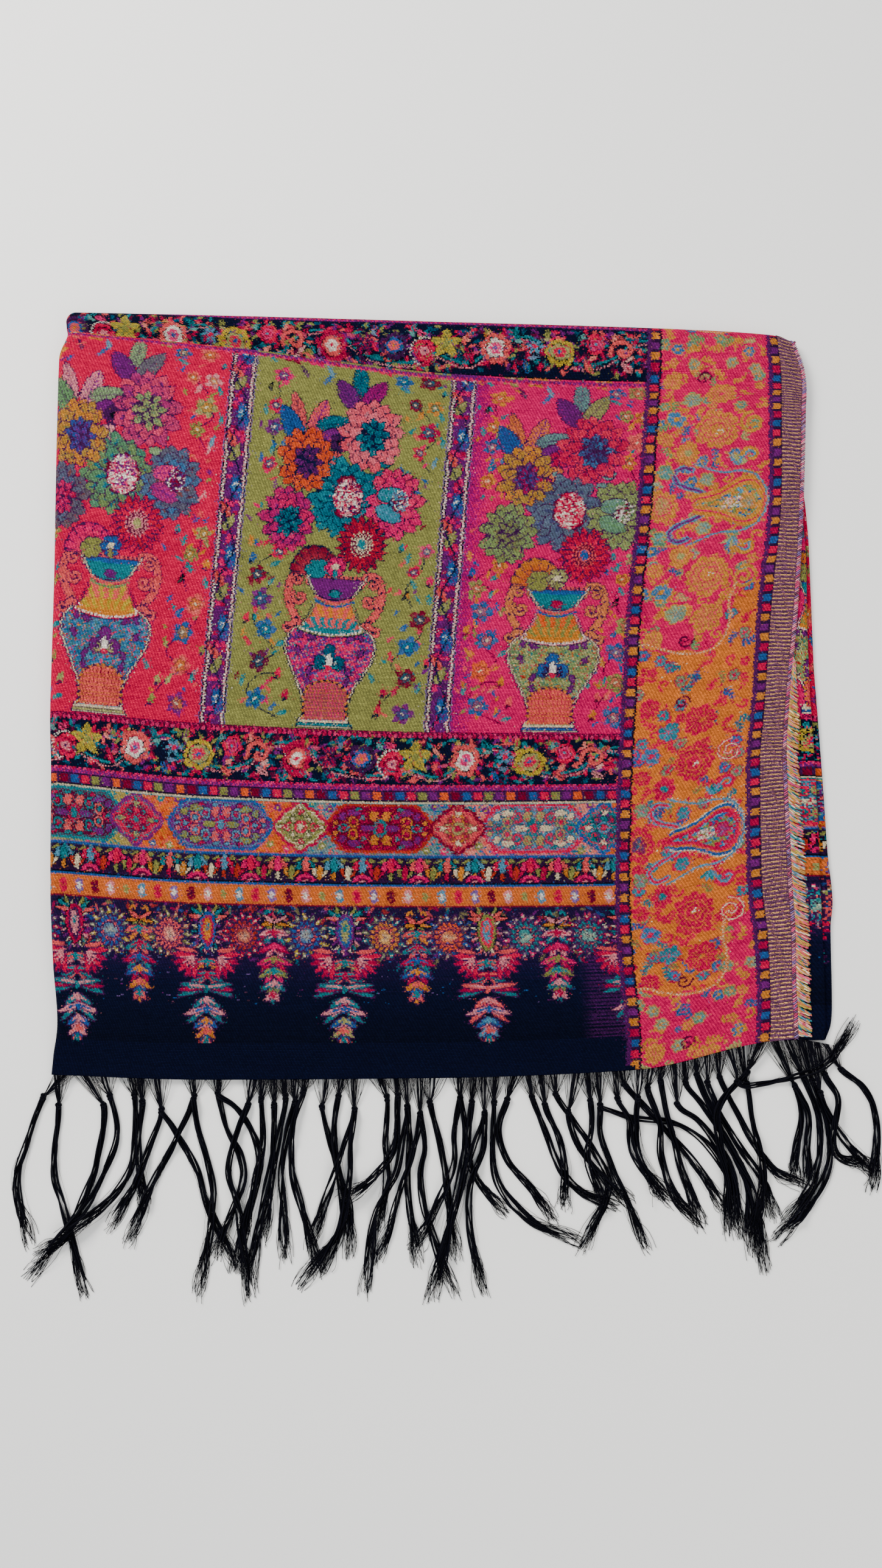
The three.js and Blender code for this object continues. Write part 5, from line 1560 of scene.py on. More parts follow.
# The three panels: their axis and edges across the cloth, and the yarns of each part. "cycle"
# names the yarns that take the place of others in the sprays.
PANELS = [
    {
        "axis": 43.0, "edges": (FIELD_LEFT, STRIP_ONE), "faded": False, "squeeze": 1.0,
        "ground": "red", "line": "plum",
        "centre": (mix("olive", "green", 0.4), "teal"),
        "speckle": ["rose", "white", "magenta", "purple"],
        "top": (mix("pink", "salmon", 0.5), "purple", "lime", "green"),
        "upper": ("ochre", "olive", "blue", "purple"),
        "left": (mix("blue", "ochre", 0.25), "brown", "crimson", "pink"),
        "right": (mix("sky", "blue", 0.5), "brown", "pink", "purple"),
        "lower": ("red", "rust", "rose", "lime"),
        "half": ("salmon", "magenta", "olive"), "bud": "blue",
        "leaves": (mix("green", "cream", 0.25), "purple", mix("blue", "ochre", 0.4), "rose", "plum"),
        "tall_leaf": "green",
        "body": [mix("blue", "teal", 0.4), mix("blue", "sky", 0.4), "sky", mix("blue", "green", 0.5)],
        "body_dots": ["crimson", "ochre", "pink", "rust"],
        "trefoil": ("purple", "lime"), "foot": "lime", "collar": ("red", "ochre", "yellow", "salmon"),
        "bowl": ("teal", "purple", "blue", "salmon", "green"),
        "handle": "salmon", "basket": ("ochre", "salmon", "maroon"),
        "cycle": {
            "red": "olive", "crimson": "lime", "maroon": "salmon", "wine": "orange", "magenta": "ochre",
            "pink": "lime", "ochre": "rose", "stem": "plum", "eye": "ochre",
        },
    },
    {
        "axis": 189.5, "edges": (STRIP_ONE, STRIP_TWO), "faded": False, "squeeze": 1.0,
        "ground": mix("olive", "lime", 0.2), "line": "navy",
        "centre": (mix("teal", "sky", 0.15), "deep"),
        "speckle": ["white", "rose", "crimson", "plum"],
        "top": (mix("salmon", "pink", 0.3), "rose", "teal", "deep"),
        "upper": ("orange", "rust", "purple", "plum"),
        "left": (mix("magenta", "salmon", 0.35), "purple", "teal", "deep"),
        "right": (mix("magenta", "pink", 0.4), "salmon", "teal", "sky"),
        "lower": (mix("red", "rust", 0.5), "maroon", "cream", "teal"),
        "half": ("salmon", "maroon", "teal"), "bud": "magenta",
        "leaves": (mix("deep", "teal", 0.6), "purple", mix("purple", "magenta", 0.4), "salmon", "plum"),
        "tall_leaf": "blue",
        "body": ["purple", "magenta", mix("magenta", "salmon", 0.5), mix("purple", "blue", 0.4)],
        "body_dots": ["teal", "salmon", "sky", "rose"],
        "trefoil": ("deep", "teal"), "foot": "teal", "collar": ("lime", "teal", "salmon", "ochre"),
        "bowl": ("purple", "teal", "purple", "salmon", "blue"),
        "handle": "salmon", "basket": ("ochre", mix("mauve", "salmon", 0.4), "magenta"),
        "cycle": {"stem": "navy", "eye": "teal"},
    },
    {
        "axis": 333.0, "edges": (STRIP_TWO, CHECK - 5), "faded": True, "squeeze": 0.8,
        "ground": "magenta", "line": "plum",
        "centre": (mix("sky", "brown", 0.4), mix("blue", "brown", 0.4)),
        "speckle": ["white", "rose", "red", "crimson"],
        "top": (mix("salmon", "red", 0.4), "crimson", mix("sky", "blue", 0.5), "plum"),
        "upper": ("ochre", "olive", "crimson", "blue"),
        "left": (mix("green", "lime", 0.4), "olive", mix("green", "brown", 0.3), "olive"),
        "right": (mix("lime", "green", 0.4), "olive", mix("sky", "olive", 0.4), "green"),
        "lower": ("red", "rust", "salmon", "blue"),
        "half": ("rust", "ochre", "olive"), "bud": "lime",
        "leaves": (
            mix("sky", "olive", 0.35), "purple", mix("olive", "lime", 0.6), mix("ochre", "salmon", 0.4),
            "crimson",
        ),
        "tall_leaf": "blue",
        "body": [
            mix("olive", "lime", 0.6), mix("green", "lime", 0.5), mix("olive", "teal", 0.35),
            mix("lime", "cream", 0.3),
        ],
        "body_dots": ["crimson", "teal", "ochre", "rust"],
        "trefoil": ("blue", "navy"), "foot": "blue", "collar": ("rose", "ochre", "olive", "orange"),
        "bowl": ("teal", "crimson", "blue", "salmon", "blue"),
        "handle": mix("gold", "salmon", 0.4), "basket": ("ochre", "salmon", "crimson"),
        "cycle": {
            "red": "ochre", "crimson": "salmon", "maroon": "olive", "wine": "orange", "magenta": "ochre",
            "pink": "lime", "purple": "blue", "stem": "wine", "eye": "salmon",
        },
    },
]


def panels(canvas):
    """The three panels and the strips between them."""
    middle, half = (PANEL_LOW + CREASE) / 2, (CREASE - PANEL_LOW) / 2
    for panel in PANELS:
        left, right = panel["edges"]
        canvas.band(PANEL_LOW, CREASE, panel["ground"], left, right)
        if panel["faded"]:
            part, u, v = canvas.window(left + 16, middle, 9, half)
            put(part, canvas.rng.random(u.shape) > (u + 10) / 16, mix("purple", "magenta", 0.35))
        sprays(canvas, panel["axis"], PANEL_LOW, panel["cycle"], panel["squeeze"])
        vase(canvas, panel["axis"], PANEL_LOW, panel)
        bouquet(canvas, panel["axis"], PANEL_LOW, panel)
    for x in (STRIP_ONE, STRIP_TWO):
        separator(canvas, x)
    scallop_row(canvas, 219.4, "wine", ("magenta", "pink", "crimson"), -1)
    scallop_row(canvas, 463.0, "purple", ("magenta", "crimson", "pink"), -1)


SWALLOWED = ([0, 116, 262], [16, 13, 0])  # cloth that the crease under the top fold takes in
FOLD_RISE = (LINES, [9.5, 18, 30.5, 32, 28, 26.5])  # real cloth between the crease and the fold
TOP_STRIP = 66  # height of the bands that roll over the top fold


def top_bands(field, seed):
    """The bands above the panels, painted flat and laid over the top fold."""
    strip = Canvas(FIELD_LEFT, FIELD_RIGHT, TOP_STRIP, seed)
    strip.band(0, TOP_STRIP, "ink")
    floral_band(strip, 1)
    scallop_row(strip, 34.0)
    check_row(strip, 37.5)
    cartouche_band(strip, 46.0, 66.0)
    across = field.xs
    hidden = np.interp(across, *SWALLOWED)[None]
    rise = np.interp(across, *FOLD_RISE)[None]
    along = field.ys[:, None]
    squeezed = (along - CREASE) * rise / (TOP_FOLD - CREASE)
    height = np.where(along < TOP_FOLD, squeezed, rise + along - TOP_FOLD) + hidden
    above = np.broadcast_to(along > CREASE, height.shape)
    row = np.clip((height * SAMPLES).astype(int), 0, len(strip.ys) - 1)
    column = np.broadcast_to(np.arange(len(across))[None], row.shape)
    field.dye = np.where(above[..., None], strip.dye[row, column], field.dye)


def paint_field():
    """The palla from its hem to the roll over the top fold."""
    canvas = Canvas(FIELD_LEFT, FIELD_RIGHT, CLOTH_TOP, seed=21)
    pendant_band(canvas)
    canvas.band(0, 22, mix("ink", "navy", 0.5))
    ochre_band(canvas)
    tulip_band(canvas)
    cartouche_band(canvas)
    check_row(canvas, 176.5)
    floral_band(canvas, 187)
    scallop_row(canvas, 184.2)
    panels(canvas)
    top_bands(canvas, seed=22)
    check_column(canvas, CHECK)
    canvas.band(0, 3, mix("ink", "navy", 0.5))
    canvas.weave(0.2, DEPTH)
    return canvas


# The side border: its ground changes colour with each big paisley, along a scrolling edge.
BOTEH_PERIOD = 229.0
FIRST_GOLD = 146.0  # height of the middle of the lowest paisley that is on gold
BOTEH_CENTRES = [(-83.0, "red"), (FIRST_GOLD, "gold"), (375.0, "red"), (604.0, "gold")]
GROUND_EDGE = [(-6, 50), (8, 52), (20, 47), (34, 43), (48, 44), (56, 52), (58.5, 64), (57, 76), (60, 88)]
PAISLEY_INKS = {
    "gold": {
        "ground": mix("orange", "ochre", 0.65), "main": "red", "second": "crimson",
        "fill": ["teal", "blue", "olive"], "pale": "sky", "line": "blue", "zari": "cream", "lyre": "red",
    },
    "red": {
        "ground": mix("red", "magenta", 0.6), "main": mix("ochre", "yellow", 0.25),
        "second": mix("gold", "salmon", 0.3), "fill": ["lime", "blue", "green"], "pale": "sky",
        "line": "ochre", "zari": "gold", "lyre": "purple",
    },
}
BOTEH_HALF = [  # distance across the border, half width of the teardrop
    (28, 0.5), (32, 2.2), (38, 3.0), (44, 4.6), (50, 8.0), (56, 11.6), (60, 12.6), (64, 11.8), (67, 9),
    (70, 3), (71, 0),
]
LYRE = [(36, 6), (30, 9.5), (23, 12), (17, 16), (16, 21), (21, 24.5), (27, 22.5)]
SCROLL = [(22, 29), (34, 24), (46, 20), (56, 20.5), (66, 17), (72, 9), (74, 0)]


def paisley_ground(canvas):
    """Lays the two grounds, and gives back where the golden one is."""
    u, v = np.meshgrid(canvas.xs - CHECK, canvas.ys)
    edge = np.interp(u, [0, 20, 45, 56, 62, 80], [52, 46, 43, 52, 86, 92]) + 1.5 * np.sin(u / 4)
    golden = (v - edge) % (2 * BOTEH_PERIOD) < BOTEH_PERIOD
    grounds = (PAISLEY_INKS[kind]["ground"] for kind in ("gold", "red"))
    canvas.dye[..., :3] = np.where(golden[..., None], *grounds)
    return golden


def sprig(canvas, x, y, inks, turn, size):
    """A curved stalk with pairs of leaves."""
    tint = inks["fill"][canvas.rng.integers(3)] if canvas.rng.random() < 0.45 else inks["main"]
    bow = canvas.rng.choice([-1, 1])
    spots = [(x, y)]
    for k in range(4):
        angle = math.radians(turn + bow * 22 * k)
        last = spots[-1]
        spots.append(around(*last, size * 0.42, size * 0.42, angle))
        for side in (-1, 1):
            length, degrees = size * (0.62 - 0.08 * k), math.degrees(angle) + side * 48
            leaf(canvas, *last, length, size * 0.3, degrees, tint, line=None)
    stroke(canvas, spots, 0.8, mix(tint, inks["second"], 0.4))
    leaf(canvas, *spots[-1], size * 0.5, size * 0.34, math.degrees(angle), inks["second"], line=None)


def small_motif(canvas, x, y, inks):
    """A flower, a curl or a sprig, or nothing, by chance."""
    rng = canvas.rng
    kind = rng.random()
    if kind < 0.16:
        return
    if kind < 0.34:
        tint = inks["fill"][rng.integers(3)]
        petals(canvas, x, y, 3.8, 3.8, 6, tint, inks["pale"], inks["second"], notch=0.35)
        disc(canvas, x, y, 1.2, 1.2, inks["main"])
    elif kind < 0.44:
        curl(canvas, x, y, 4.2, rng.uniform(0, 360), rng.choice([-0.9, 0.9]), 1.5, inks["main"])
    elif kind < 0.53:
        petals(canvas, x, y, 3.6, 3.6, 5, inks["main"], inks["second"], inks["ground"], notch=0.4)
    else:
        sprig(canvas, x, y, inks, rng.uniform(0, 360), rng.uniform(4.6, 7))
    if rng.random() < 0.5:
        disc(canvas, x + 4, y + 2, 0.5, 0.4, inks["zari"], metal=True)


def paisley_scatter(canvas, golden):
    """The small flowers and leaves that fill the ground, about one to each 9 mm square."""
    rng = canvas.rng
    for y in np.arange(2, CLOTH_TOP, 9.0):
        for u in np.arange(6, 78, 9.0):
            across, up = u + rng.uniform(-3.5, 3.5), y + rng.uniform(-3.5, 3.5)
            row = min(max(int(up * SAMPLES), 0), len(golden) - 1)
            on_gold = golden[row, int(max(across, 0) * SAMPLES)]
            small_motif(canvas, CHECK + across, up, PAISLEY_INKS["gold" if on_gold else "red"])


def boteh(canvas, y, inks):
    """The big teardrop across the border, with its scrolls and flowers above and below."""
    main, second, ground, pale, zari = (inks[name] for name in ("main", "second", "ground", "pale", "zari"))
    fill = inks["fill"]

    def at(across, out):
        return CHECK + across, y + out * 1.04

    petals(canvas, *at(9, 0), 10, 12.5, 11, main, second, ground, low=0.2, notch=0.25)
    petals(canvas, *at(10, 0), 5, 6, 7, second, fill[0], ground)
    for side in (-1, 1):
        stroke(canvas, [at(a, side * b) for a, b in SCROLL], 1.3, pale)
        dotted(canvas, [at(a, side * (b + 1.6)) for a, b in SCROLL], 2.6, 0.5, zari)
        lyre = [at(a, side * b) for a, b in LYRE]
        stroke(canvas, lyre, 3.6, pale)
        stroke(canvas, lyre, 1.6, inks["lyre"])
        petals(canvas, *at(42, side * 49), 13.5, 13.5, 13, main, second, ground, low=0.3, notch=0.22)
        petals(canvas, *at(41, side * 49), 9, 9, 10, second, main, ground, low=0.2)
        petals(canvas, *at(42, side * 48), 5, 5, 7, main, second, ground)
        speckle(canvas, *at(43, side * 47), 2.6, 2.2, ["white", main, "ochre"], 1.0, 0.7, ("white",))
        petals(canvas, *at(24, side * 34), 7.4, 7.8, 8, main, second, ground, low=0.3, notch=0.25)
        disc(canvas, *at(24, side * 34), 2.3, 2.3, fill[0], second)
        curl(canvas, *at(64, side * 52), 8.4, 90, side * 1.7, 2.2, main)
        curl(canvas, *at(64, side * 52), 8.4, 90, side * 1.7, 0.8, zari, metal=True)
        curl(canvas, *at(63, side * 30), 6.4, 200, -side * 1.0, 2.6, main)
        curl(canvas, *at(63, side * 30), 4.4, 200, -side * 0.8, 1.4, pale)
        petals(canvas, *at(15, side * 57), 5.8, 6, 6, pale, fill[1], main, notch=0.3)
        disc(canvas, *at(15, side * 57), 1.8, 1.8, main)
        petals(canvas, *at(36, side * 16), 4.8, 4.4, 6, fill[0], pale, main, notch=0.3)
        petals(canvas, *at(10, side * 22), 5.0, 5.0, 6, fill[2], pale, main, notch=0.3)
        petals(canvas, *at(10, side * 43), 5.6, 5.2, 7, main, second, ground, notch=0.3)
        turns = [90 * side + t for t in (-60, -30, 0, 30)]
        fan(canvas, *at(54, side * 24), 8, 3.2, turns, [fill[0], pale])
        petals(canvas, *at(44, side * 77), 10, 10, 10, main, second, ground, low=0.2, notch=0.25)
        petals(canvas, *at(25, side * 72), 6.6, 6.2, 7, fill[0], pale, main, notch=0.3)
        petals(canvas, *at(12, side * 88), 6.6, 6.6, 8, main, second, ground, notch=0.25)
        curl(canvas, *at(32, side * 90), 5, 0, side * 1.2, 1.3, "wine")
    teardrop(canvas, y, inks)


def teardrop(canvas, y, inks):
    """The paisley itself, in outlines of several colours, filled with small patches."""
    part, u, v = canvas.window(CHECK + 50, y, 30, 22)
    half = half_profile(u + 50, BOTEH_HALF)
    depth = half - np.abs(v) - 0.12 * np.maximum(0, u - 12) ** 1.5
    grown = np.maximum(half, half_profile(u + 50 - 1.5, BOTEH_HALF))
    for reach, name in ((5.4, "zari"), (4.6, "line"), (2.6, "ground"), (1.4, "main")):
        outline = (grown > -0.5) & (np.abs(v) < grown + reach) & (u < 20.5 + reach * 0.5)
        put(part, outline, inks[name], name == "zari")
    inside = (depth > 0) & (u < 20)
    put(part, inside, mix(inks["second"], inks["main"], 0.4))
    fills = [*inks["fill"], inks["pale"], inks["main"], "olive"]
    scatter(canvas, part, inside & (depth > 1.2), u, v, fills, 1.8, 0.8)
    heart = (u > -4) & (u < 10) & (np.abs(v) < 3.4)
    scatter(canvas, part, heart, u, v, ["white", "rose", "cream"], 1.0, 0.45, ("white",))
    petals(canvas, CHECK + 61, y, 4.2, 4.6, 6, inks["main"], inks["pale"], inks["second"], notch=0.3)


def paint_border():
    """The side border with the check strips at both its sides."""
    canvas = Canvas(FIELD_RIGHT, BORDER_RIGHT, CLOTH_TOP, seed=31)
    paisley_scatter(canvas, paisley_ground(canvas))
    for centre, kind in BOTEH_CENTRES:
        if -100 < centre < CLOTH_TOP + 100:
            boteh(canvas, centre, PAISLEY_INKS[kind])
        edge = [(CHECK + u, centre - FIRST_GOLD + v) for u, v in GROUND_EDGE]
        stroke(canvas, edge, 2.0, mix("ochre", "salmon", 0.3))
        dotted(canvas, edge, 2.0, 0.55, "cream")
    check_column(canvas, CHECK)
    check_column(canvas, EDGE_STRIP)
    canvas.weave(0.1, BORDER_DEPTH)
    return canvas


def face_piece(name, canvas, columns, rows, material, squeeze):
    """A stretch of the face cloth on a 1 mm grid, its colours from the canvas."""
    across = np.arange(columns[0], columns[1] + 1, dtype=float)
    along = np.arange(rows[0], rows[1] + 1, dtype=float)
    painted, up = (v.ravel() for v in np.meshgrid(across, along))
    placed = true_across(painted, up) if squeeze else painted
    points, beyond = face_points(placed, up)
    faces = grid_faces(len(along), len(across))
    colours = canvas.corners(columns[0], columns[1] - columns[0], rows[0], rows[1] - rows[0])
    shown = ~beyond[faces].all(axis=1)
    faces, colours = faces[shown], colours[shown]
    coordinates = np.stack([painted, up], axis=1)
    if rows[0] == 0:
        points, faces, colours, coordinates = with_rim(points, faces, colours, coordinates, len(across))
    piece = new_mesh(name, points, faces, material)
    set_weave(piece, coordinates)
    set_colours(piece, colours)
    return piece


def with_rim(points, faces, colours, coordinates, columns):
    """The cut edge of the hem: the first row of points again, a cloth's thickness lower."""
    rim = points[:columns] - np.array([0, 0, WALL])
    rim[:, 2] = np.maximum(rim[:, 2], LOWEST)
    count = len(points)
    first = np.arange(columns - 1)
    edge = np.stack([count + first, count + first + 1, first + 1, first], axis=1)
    edge_colours = np.repeat(colours[: columns - 1][:, :1], 4, axis=1)[: len(edge)]
    return (
        np.vstack([points, rim]),
        np.vstack([faces, edge]),
        np.concatenate([colours, edge_colours]),
        np.vstack([coordinates, coordinates[:columns]]),
    )


def make_face(field, border, material):
    """The face cloth: three stretches of the palla and the border."""
    stretches = [("bands", 0, PANEL_LOW), ("panels", PANEL_LOW, CREASE), ("top_fold", CREASE, CLOTH_TOP)]
    made = [
        face_piece("palla_" + name, field, (FIELD_LEFT, FIELD_RIGHT), (low, high), material, True)
        for name, low, high in stretches
    ]
    columns, rows = (FIELD_RIGHT, BORDER_RIGHT), (0, CLOTH_TOP)
    return [*made, face_piece("paisley_border", border, columns, rows, material, False)]


RIB_PITCH = 2.7
RIB_RELIEF = 0.42
SEAM = 2.6  # width of the stitched seam beside the selvage


def outward(points, rows, columns):
    """Unit normals of a grid of points, upwards on its flat part."""
    grid = points.reshape(rows, columns, 3)
    normal = np.cross(np.gradient(grid, axis=1), np.gradient(grid, axis=0))
    normal /= np.maximum(np.linalg.norm(normal, axis=2, keepdims=True), 1e-9)
    return normal.reshape(-1, 3)


def selvage_colours(phase, faces, plain):
    """Plum, mauve and brown yarns in turn, with a broken metal thread on each rib."""
    rng = np.random.default_rng(5)
    middle = phase[faces].mean(axis=1)[:, None]
    count = len(faces)
    brown = np.where(middle < 0.62, ink("mauve"), ink("brown"))
    base = np.where(middle < 0.2, ink("plum"), brown) * rng.uniform(0.8, 1.25, (count, 1))
    metal = (middle > 0.62) & (middle < 0.86) & (rng.random((count, 1)) < 0.72) & ~plain[:, None]
    colours = np.ones((count, 4, 4))
    colours[..., :3] = np.where(metal, ink("gold") * 1.15, base)[:, None]
    colours[..., 3] = np.where(metal, 0.0, 1.0)
    return colours


def make_selvage(material):
    """The ribbed selvage: raised cords across the band, each with a metal thread."""
    across = np.linspace(BORDER_RIGHT, SELVAGE, 21)
    along = np.arange(0, CLOTH_TOP, 0.45)
    a, b = (v.ravel() for v in np.meshgrid(across, along))
    points, _ = face_points(a, b)
    sway = 0.5 * np.sin(b / 37) + 0.25 * np.sin(a / 3 + b / 11)
    phase = (b + sway) / RIB_PITCH % 1
    rib = np.abs(np.sin(math.pi * phase)) ** 0.7
    edge = np.minimum(1, (SELVAGE + 0.4 - a) / 1.6)
    points = points + outward(points, len(along), len(across)) * (RIB_RELIEF * rib * edge)[:, None]
    points[:, 2] = np.maximum(points[:, 2] - (1 - edge) * 0.9, 0.1)
    faces = grid_faces(len(along), len(across))
    piece = new_mesh("ribbed_selvage", points, faces, material)
    set_weave(piece, np.stack([b, a], axis=1))
    set_colours(piece, selvage_colours(phase, faces, a[faces[:, 0]] >= SELVAGE - 2))
    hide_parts("selvage_band")
    return piece


def tube_colours(names, rng, steps, sides, count):
    """One colour for each tube, on every corner of its triangles."""
    per_tube = (steps - 1) * sides * 2 + 2 * (sides - 2)
    picked = np.array([ink(names[k]) for k in rng.integers(0, len(names), count)])
    picked = picked * rng.uniform(0.85, 1.15, (count, 1))
    colours = np.ones((count * per_tube, 3, 4))
    colours[..., :3] = np.repeat(picked, per_tube, axis=0)[:, None]
    return colours


def make_seam(material):
    """Small crossed stitches that bind the selvage, all the way up."""
    rng = np.random.default_rng(7)
    along = np.arange(0.6, TOP_FOLD + 8, 1.5)
    edge, _ = face_points(np.full(len(along), SELVAGE), along)
    paths = []
    for i, point in enumerate(edge):
        for lean in (-1, 1):
            t = np.linspace(0, 1, 5)
            x = point[0] - 0.9 + (SEAM + 0.4) * t
            y = point[1] + lean * (t - 0.5) * 2.2 + rng.normal(0, 0.15)
            z = np.maximum(point[2] + 0.05 + 0.45 * np.sin(math.pi * t) - 0.9 * t + 0.12 * lean, 0.5)
            paths.append(np.stack([x, y, z], axis=1))
    paths = np.array(paths)
    points, faces = tubes(paths, 0.36, 4)
    piece = new_mesh("seam_stitches", points, faces, material)
    set_colours(piece, tube_colours(["rose", "mauve", "pink", "lilac"], rng, 5, 4, len(paths)))
    return piece


YARN_REACH = ([0, 20, 110, 188, 222, 262], [10.5, 11, 11.5, 10, 9, 3.5])  # along, length of the ends
YARN_NAMES = ["sky", "ochre", "gold", "cream", "salmon", "teal", "yellow", "gold", "pink", "rose"]


def make_yarn_ends(material):
    """The cut ends of the coloured wefts, two plies each, combed down beside the seam."""
    rng = np.random.default_rng(9)
    along = np.arange(1.0, 262, 1.08)
    edge = surface(np.full(len(along), SELVAGE), along)
    reach = bend(np.array(YARN_REACH[0]), YARN_REACH[1], along)
    steps = 9
    t = np.linspace(0, 1, steps)
    paths = []
    for point, out, up in zip(edge, reach, along):
        end = out * rng.uniform(0.82, 1.0)
        first = min(SEAM * 0.7, end * 0.5)
        fall = rng.uniform(2.6, 4.8) * min(1, up / 6)
        turn = rng.uniform(0, 2 * math.pi)
        for ply in (0, math.pi):
            x = point[0] + first + (end - first) * t
            y = point[1] + 1.2 - fall * t**0.8 + 0.34 * np.cos(turn + ply + t * 9)
            z = point[2] - 0.45 - 0.25 * t + 0.3 * np.sin(turn + ply + t * 9)
            paths.append(np.stack([x, y, z], axis=1))
    paths = np.array(paths)
    points, faces = tubes(paths, 0.4 * np.where(t > 0.9, 0.6, 1.0), 5)
    piece = new_mesh("weft_ends", points, faces, material)
    set_colours(piece, tube_colours(YARN_NAMES, rng, steps, 5, len(paths)))
    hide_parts("yarn_edge")
    return piece


GAP = 0.3
UNDER_BOTTOM = 0.56  # share of the height beside the selvage where the lower layer ends
LAYER_LENGTH = 477
TOP_COLUMNS, ROUND_COLUMNS = 19, 8  # of the side layers' grid, before its one underside column
SECOND_EDGE = (  # y, x of the folded edge
    [-163, -150, -91, -42, 32, 63, 104, 146, 208, 254, 290],
    [239, 241, 241, 241, 240, 239, 239, 240, 238, 239, 235],
)
THIRD_EDGE = (
    [-163, -150, -139, -91, -74, -42, -5, 53, 83, 157, 183, 208, 254, 290],
    [240, 245, 246, 247, 249, 247, 246, 244, 243, 243, 242, 240, 238.5, 234],
)


def side_section(inner, edge, y, low, high):
    """x and z of a fold seen from its end: flat top, round side, straight underside."""
    right = np.maximum(bend(np.array(edge[0]), edge[1], y), inner[:, 0] + 3)
    half = (high - low) / 2
    turn = np.radians(np.linspace(90, -90, ROUND_COLUMNS)[None])
    flat = np.linspace(0, 1, TOP_COLUMNS + 1)[None, :-1]
    start = right - half
    top_x = inner[:, :1] + (start - inner[:, 0])[:, None] * flat
    round_x = start[:, None] + half[:, None] * np.cos(turn)
    round_z = (low + half)[:, None] + half[:, None] * np.sin(turn)
    top_z = np.repeat(high[:, None], TOP_COLUMNS, axis=1)
    return np.hstack([top_x, round_x, inner[:, :1]]), np.hstack([top_z, round_z, low[:, None]])


def fold_colours(field, along, length, painted, direction):
    """The field's colours on a fold: `painted` is the distance across at the fold's edge."""
    column = (painted + direction * (length - length[TOP_COLUMNS + 1]) - FIELD_LEFT) * SAMPLES
    column = np.clip(column.astype(int), 0, field.dye.shape[1] - 1)
    row = np.clip((along[:-1] * SAMPLES).astype(int), 0, field.dye.shape[0] - 1)
    return np.repeat(field.dye[row][:, column[:-1]].reshape(-1, 1, 4), 3, axis=1)


def make_side_layer(name, edge, material, field, upper, painted, direction):
    """A folded edge of the same cloth beside the selvage: its top, its round side, its underside."""
    along = np.arange(0, LAYER_LENGTH, 1.0)
    inner = surface(np.full(len(along), SELVAGE - 4 + GAP), along)
    y = inner[:, 1].copy()
    y[0] -= 0.5
    under = surface(np.full(len(along), SELVAGE), along)[:, 2] - WALL - GAP - 0.15
    low, high = under * UNDER_BOTTOM + GAP / 2, under
    if not upper:
        low, high = 0 * under, under * UNDER_BOTTOM - GAP / 2
    x, z = side_section(inner, edge, y, low, high)
    rows, columns = x.shape
    points = np.stack([x, np.repeat(y[:, None], columns, axis=1), z], axis=2).reshape(-1, 3)
    quads = grid_faces(rows, columns)
    length = np.concatenate([[0], np.cumsum(np.hypot(np.diff(x[rows // 2]), np.diff(z[rows // 2])))])
    colours = fold_colours(field, along, length, painted, direction)
    ends = np.arange(1, columns - 1)
    last = (rows - 1) * columns
    front = np.stack([0 * ends, ends + 1, ends], axis=1)
    back = np.stack([0 * ends + last, ends + last, ends + 1 + last], axis=1)
    dark = np.tile(np.array([*ink("navy"), 1.0]), (2 * len(ends), 3, 1))
    faces = np.vstack([quads[:, [0, 1, 2]], quads[:, [0, 2, 3]], front, back])
    piece = new_mesh(name, points, faces, material)
    set_weave(piece, np.stack([np.tile(length, rows), np.repeat(along, columns)], axis=1))
    set_colours(piece, np.vstack([colours, colours, dark]))
    return piece


FOLD_LAYER = 3.4  # height of one folded layer at the flanks
GROOVE, GROOVE_HALF = 0.7, 0.9  # depth and half height of the groove between two layers
LONGEST_EDGE = 2.4
HEM_LEFT = (-247, -182)  # x and y of the hem's left end, for the colours of the hidden layers


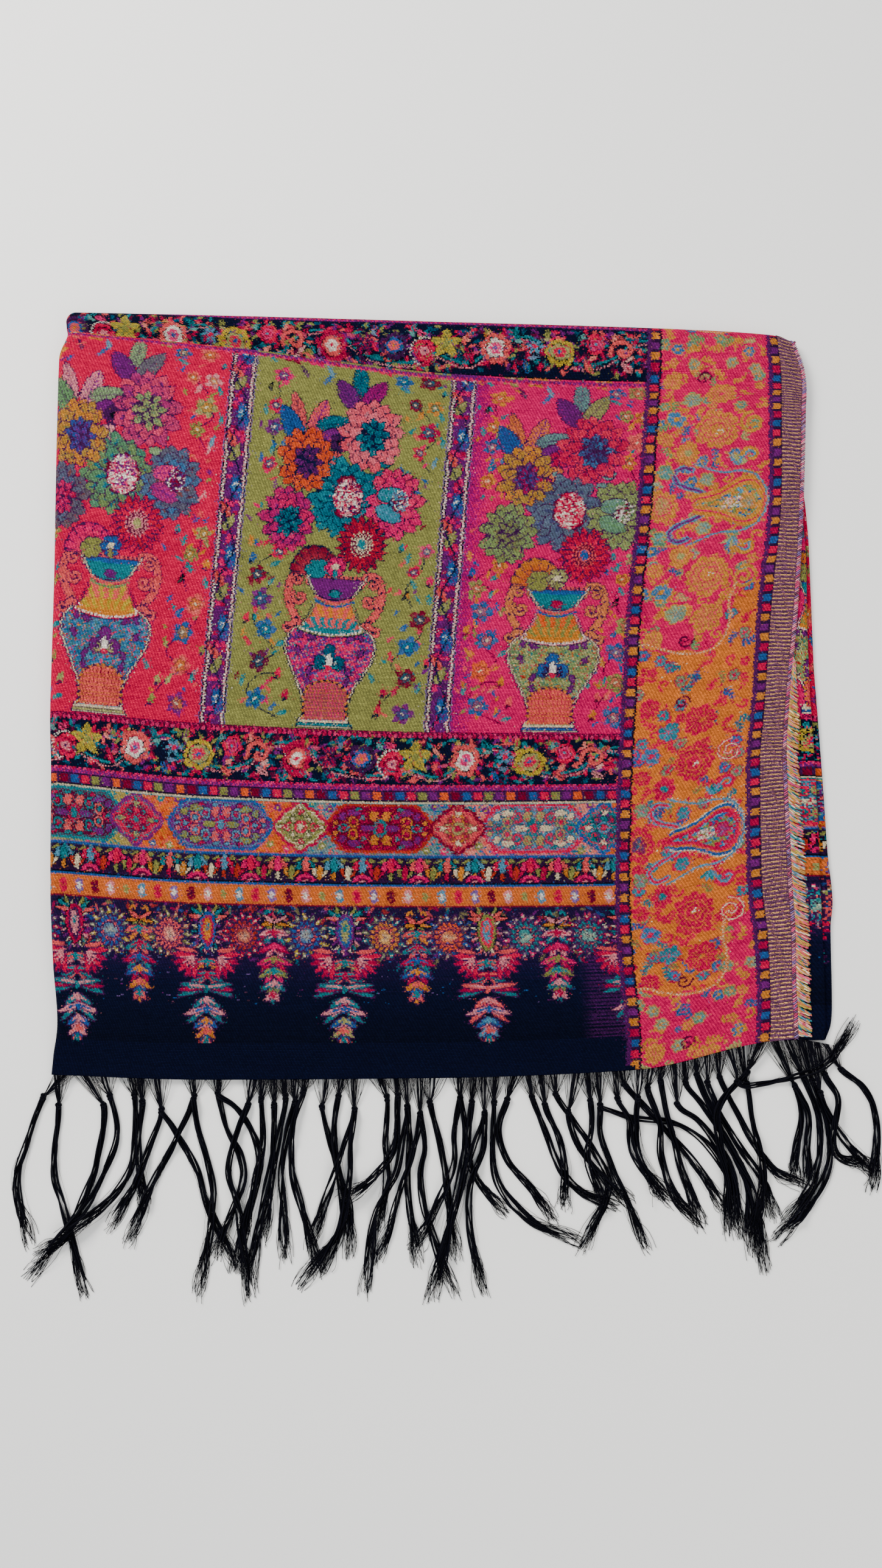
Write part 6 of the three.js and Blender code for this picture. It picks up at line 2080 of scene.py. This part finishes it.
def groove_flanks(mesh):
    """Splits the steep faces and draws them in along lines halfway up each layer."""
    body = bmesh.new()
    body.from_mesh(mesh)
    for _ in range(4):
        steep = [face for face in body.faces if abs(face.normal.z) < 0.8]
        long = {edge for face in steep for edge in face.edges if edge.calc_length() > LONGEST_EDGE * MM}
        edges = [edge for edge in body.edges if edge in long]
        bmesh.ops.subdivide_edges(body, edges=edges, cuts=1, use_grid_fill=True)
    bmesh.ops.triangulate(body, faces=body.faces[:])
    body.normal_update()
    moves = []
    for vertex in body.verts:
        height = vertex.co.z / MM
        side = vertex.normal.copy()
        side.z = 0
        groove = max(0, 1 - abs(height % FOLD_LAYER - FOLD_LAYER / 2) / GROOVE_HALF) if height > 0.6 else 0
        moves.append(side * groove * -GROOVE * MM)
    for vertex, move in zip(body.verts, moves):
        vertex.co += move
    body.to_mesh(mesh)
    body.free()


def make_inner(material, field):
    """The folded layers under the face, from their solid's own shape, grooved between the layers."""
    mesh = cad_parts["folded_layers"].data.copy()
    groove_flanks(mesh)
    piece = bpy.data.objects.new("inner_folds", mesh)
    bpy.context.scene.collection.objects.link(piece)
    mesh.materials.clear()
    mesh.materials.append(material)
    mesh.polygons.foreach_set("use_smooth", [True] * len(mesh.polygons))
    places = np.array([vertex.co for vertex in mesh.vertices]) / MM - SHIFT
    along = np.clip(places[:, 1] - HEM_LEFT[1], 0, CLOTH_TOP - 1)
    across = np.clip(places[:, 0] - HEM_LEFT[0] + places[:, 2], FIELD_LEFT, FIELD_RIGHT - 1)
    set_weave(piece, np.stack([across, along], axis=1))
    rows = (along * SAMPLES).astype(int)
    columns = ((across - FIELD_LEFT) * SAMPLES).astype(int)
    corners = np.array([loop.vertex_index for loop in mesh.loops])
    set_colours(piece, field.dye[rows[corners], columns[corners]])
    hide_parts("folded_layers")
    return piece


make_camera()
make_floor()
make_lights()
cloth = woven_material("woven_cloth")
field = paint_field()
pieces = make_face(field, paint_border(), cloth)
for piece in pieces[:3]:
    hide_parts("palla_field")
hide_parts("side_border")
selvage = make_selvage(cloth)
dyed_yarn = dyed_yarn_material("dyed_yarn")
seam = make_seam(dyed_yarn)
weft_ends = make_yarn_ends(dyed_yarn)
second = make_side_layer("second_fold", SECOND_EDGE, cloth, field, upper=True, painted=322, direction=1)
third = make_side_layer("third_fold", THIRD_EDGE, cloth, field, upper=False, painted=96, direction=-1)
inner = make_inner(cloth, field)
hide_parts("second_layer")
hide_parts("third_layer")
for piece in [*pieces, selvage, seam, weft_ends, second, third, inner]:
    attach(piece, "root")
tassels = make_fringe(yarn_material("black_yarn", (0.0006, 0.0006, 0.0022), (0.003, 0.003, 0.007)))

bpy.context.view_layer.update()
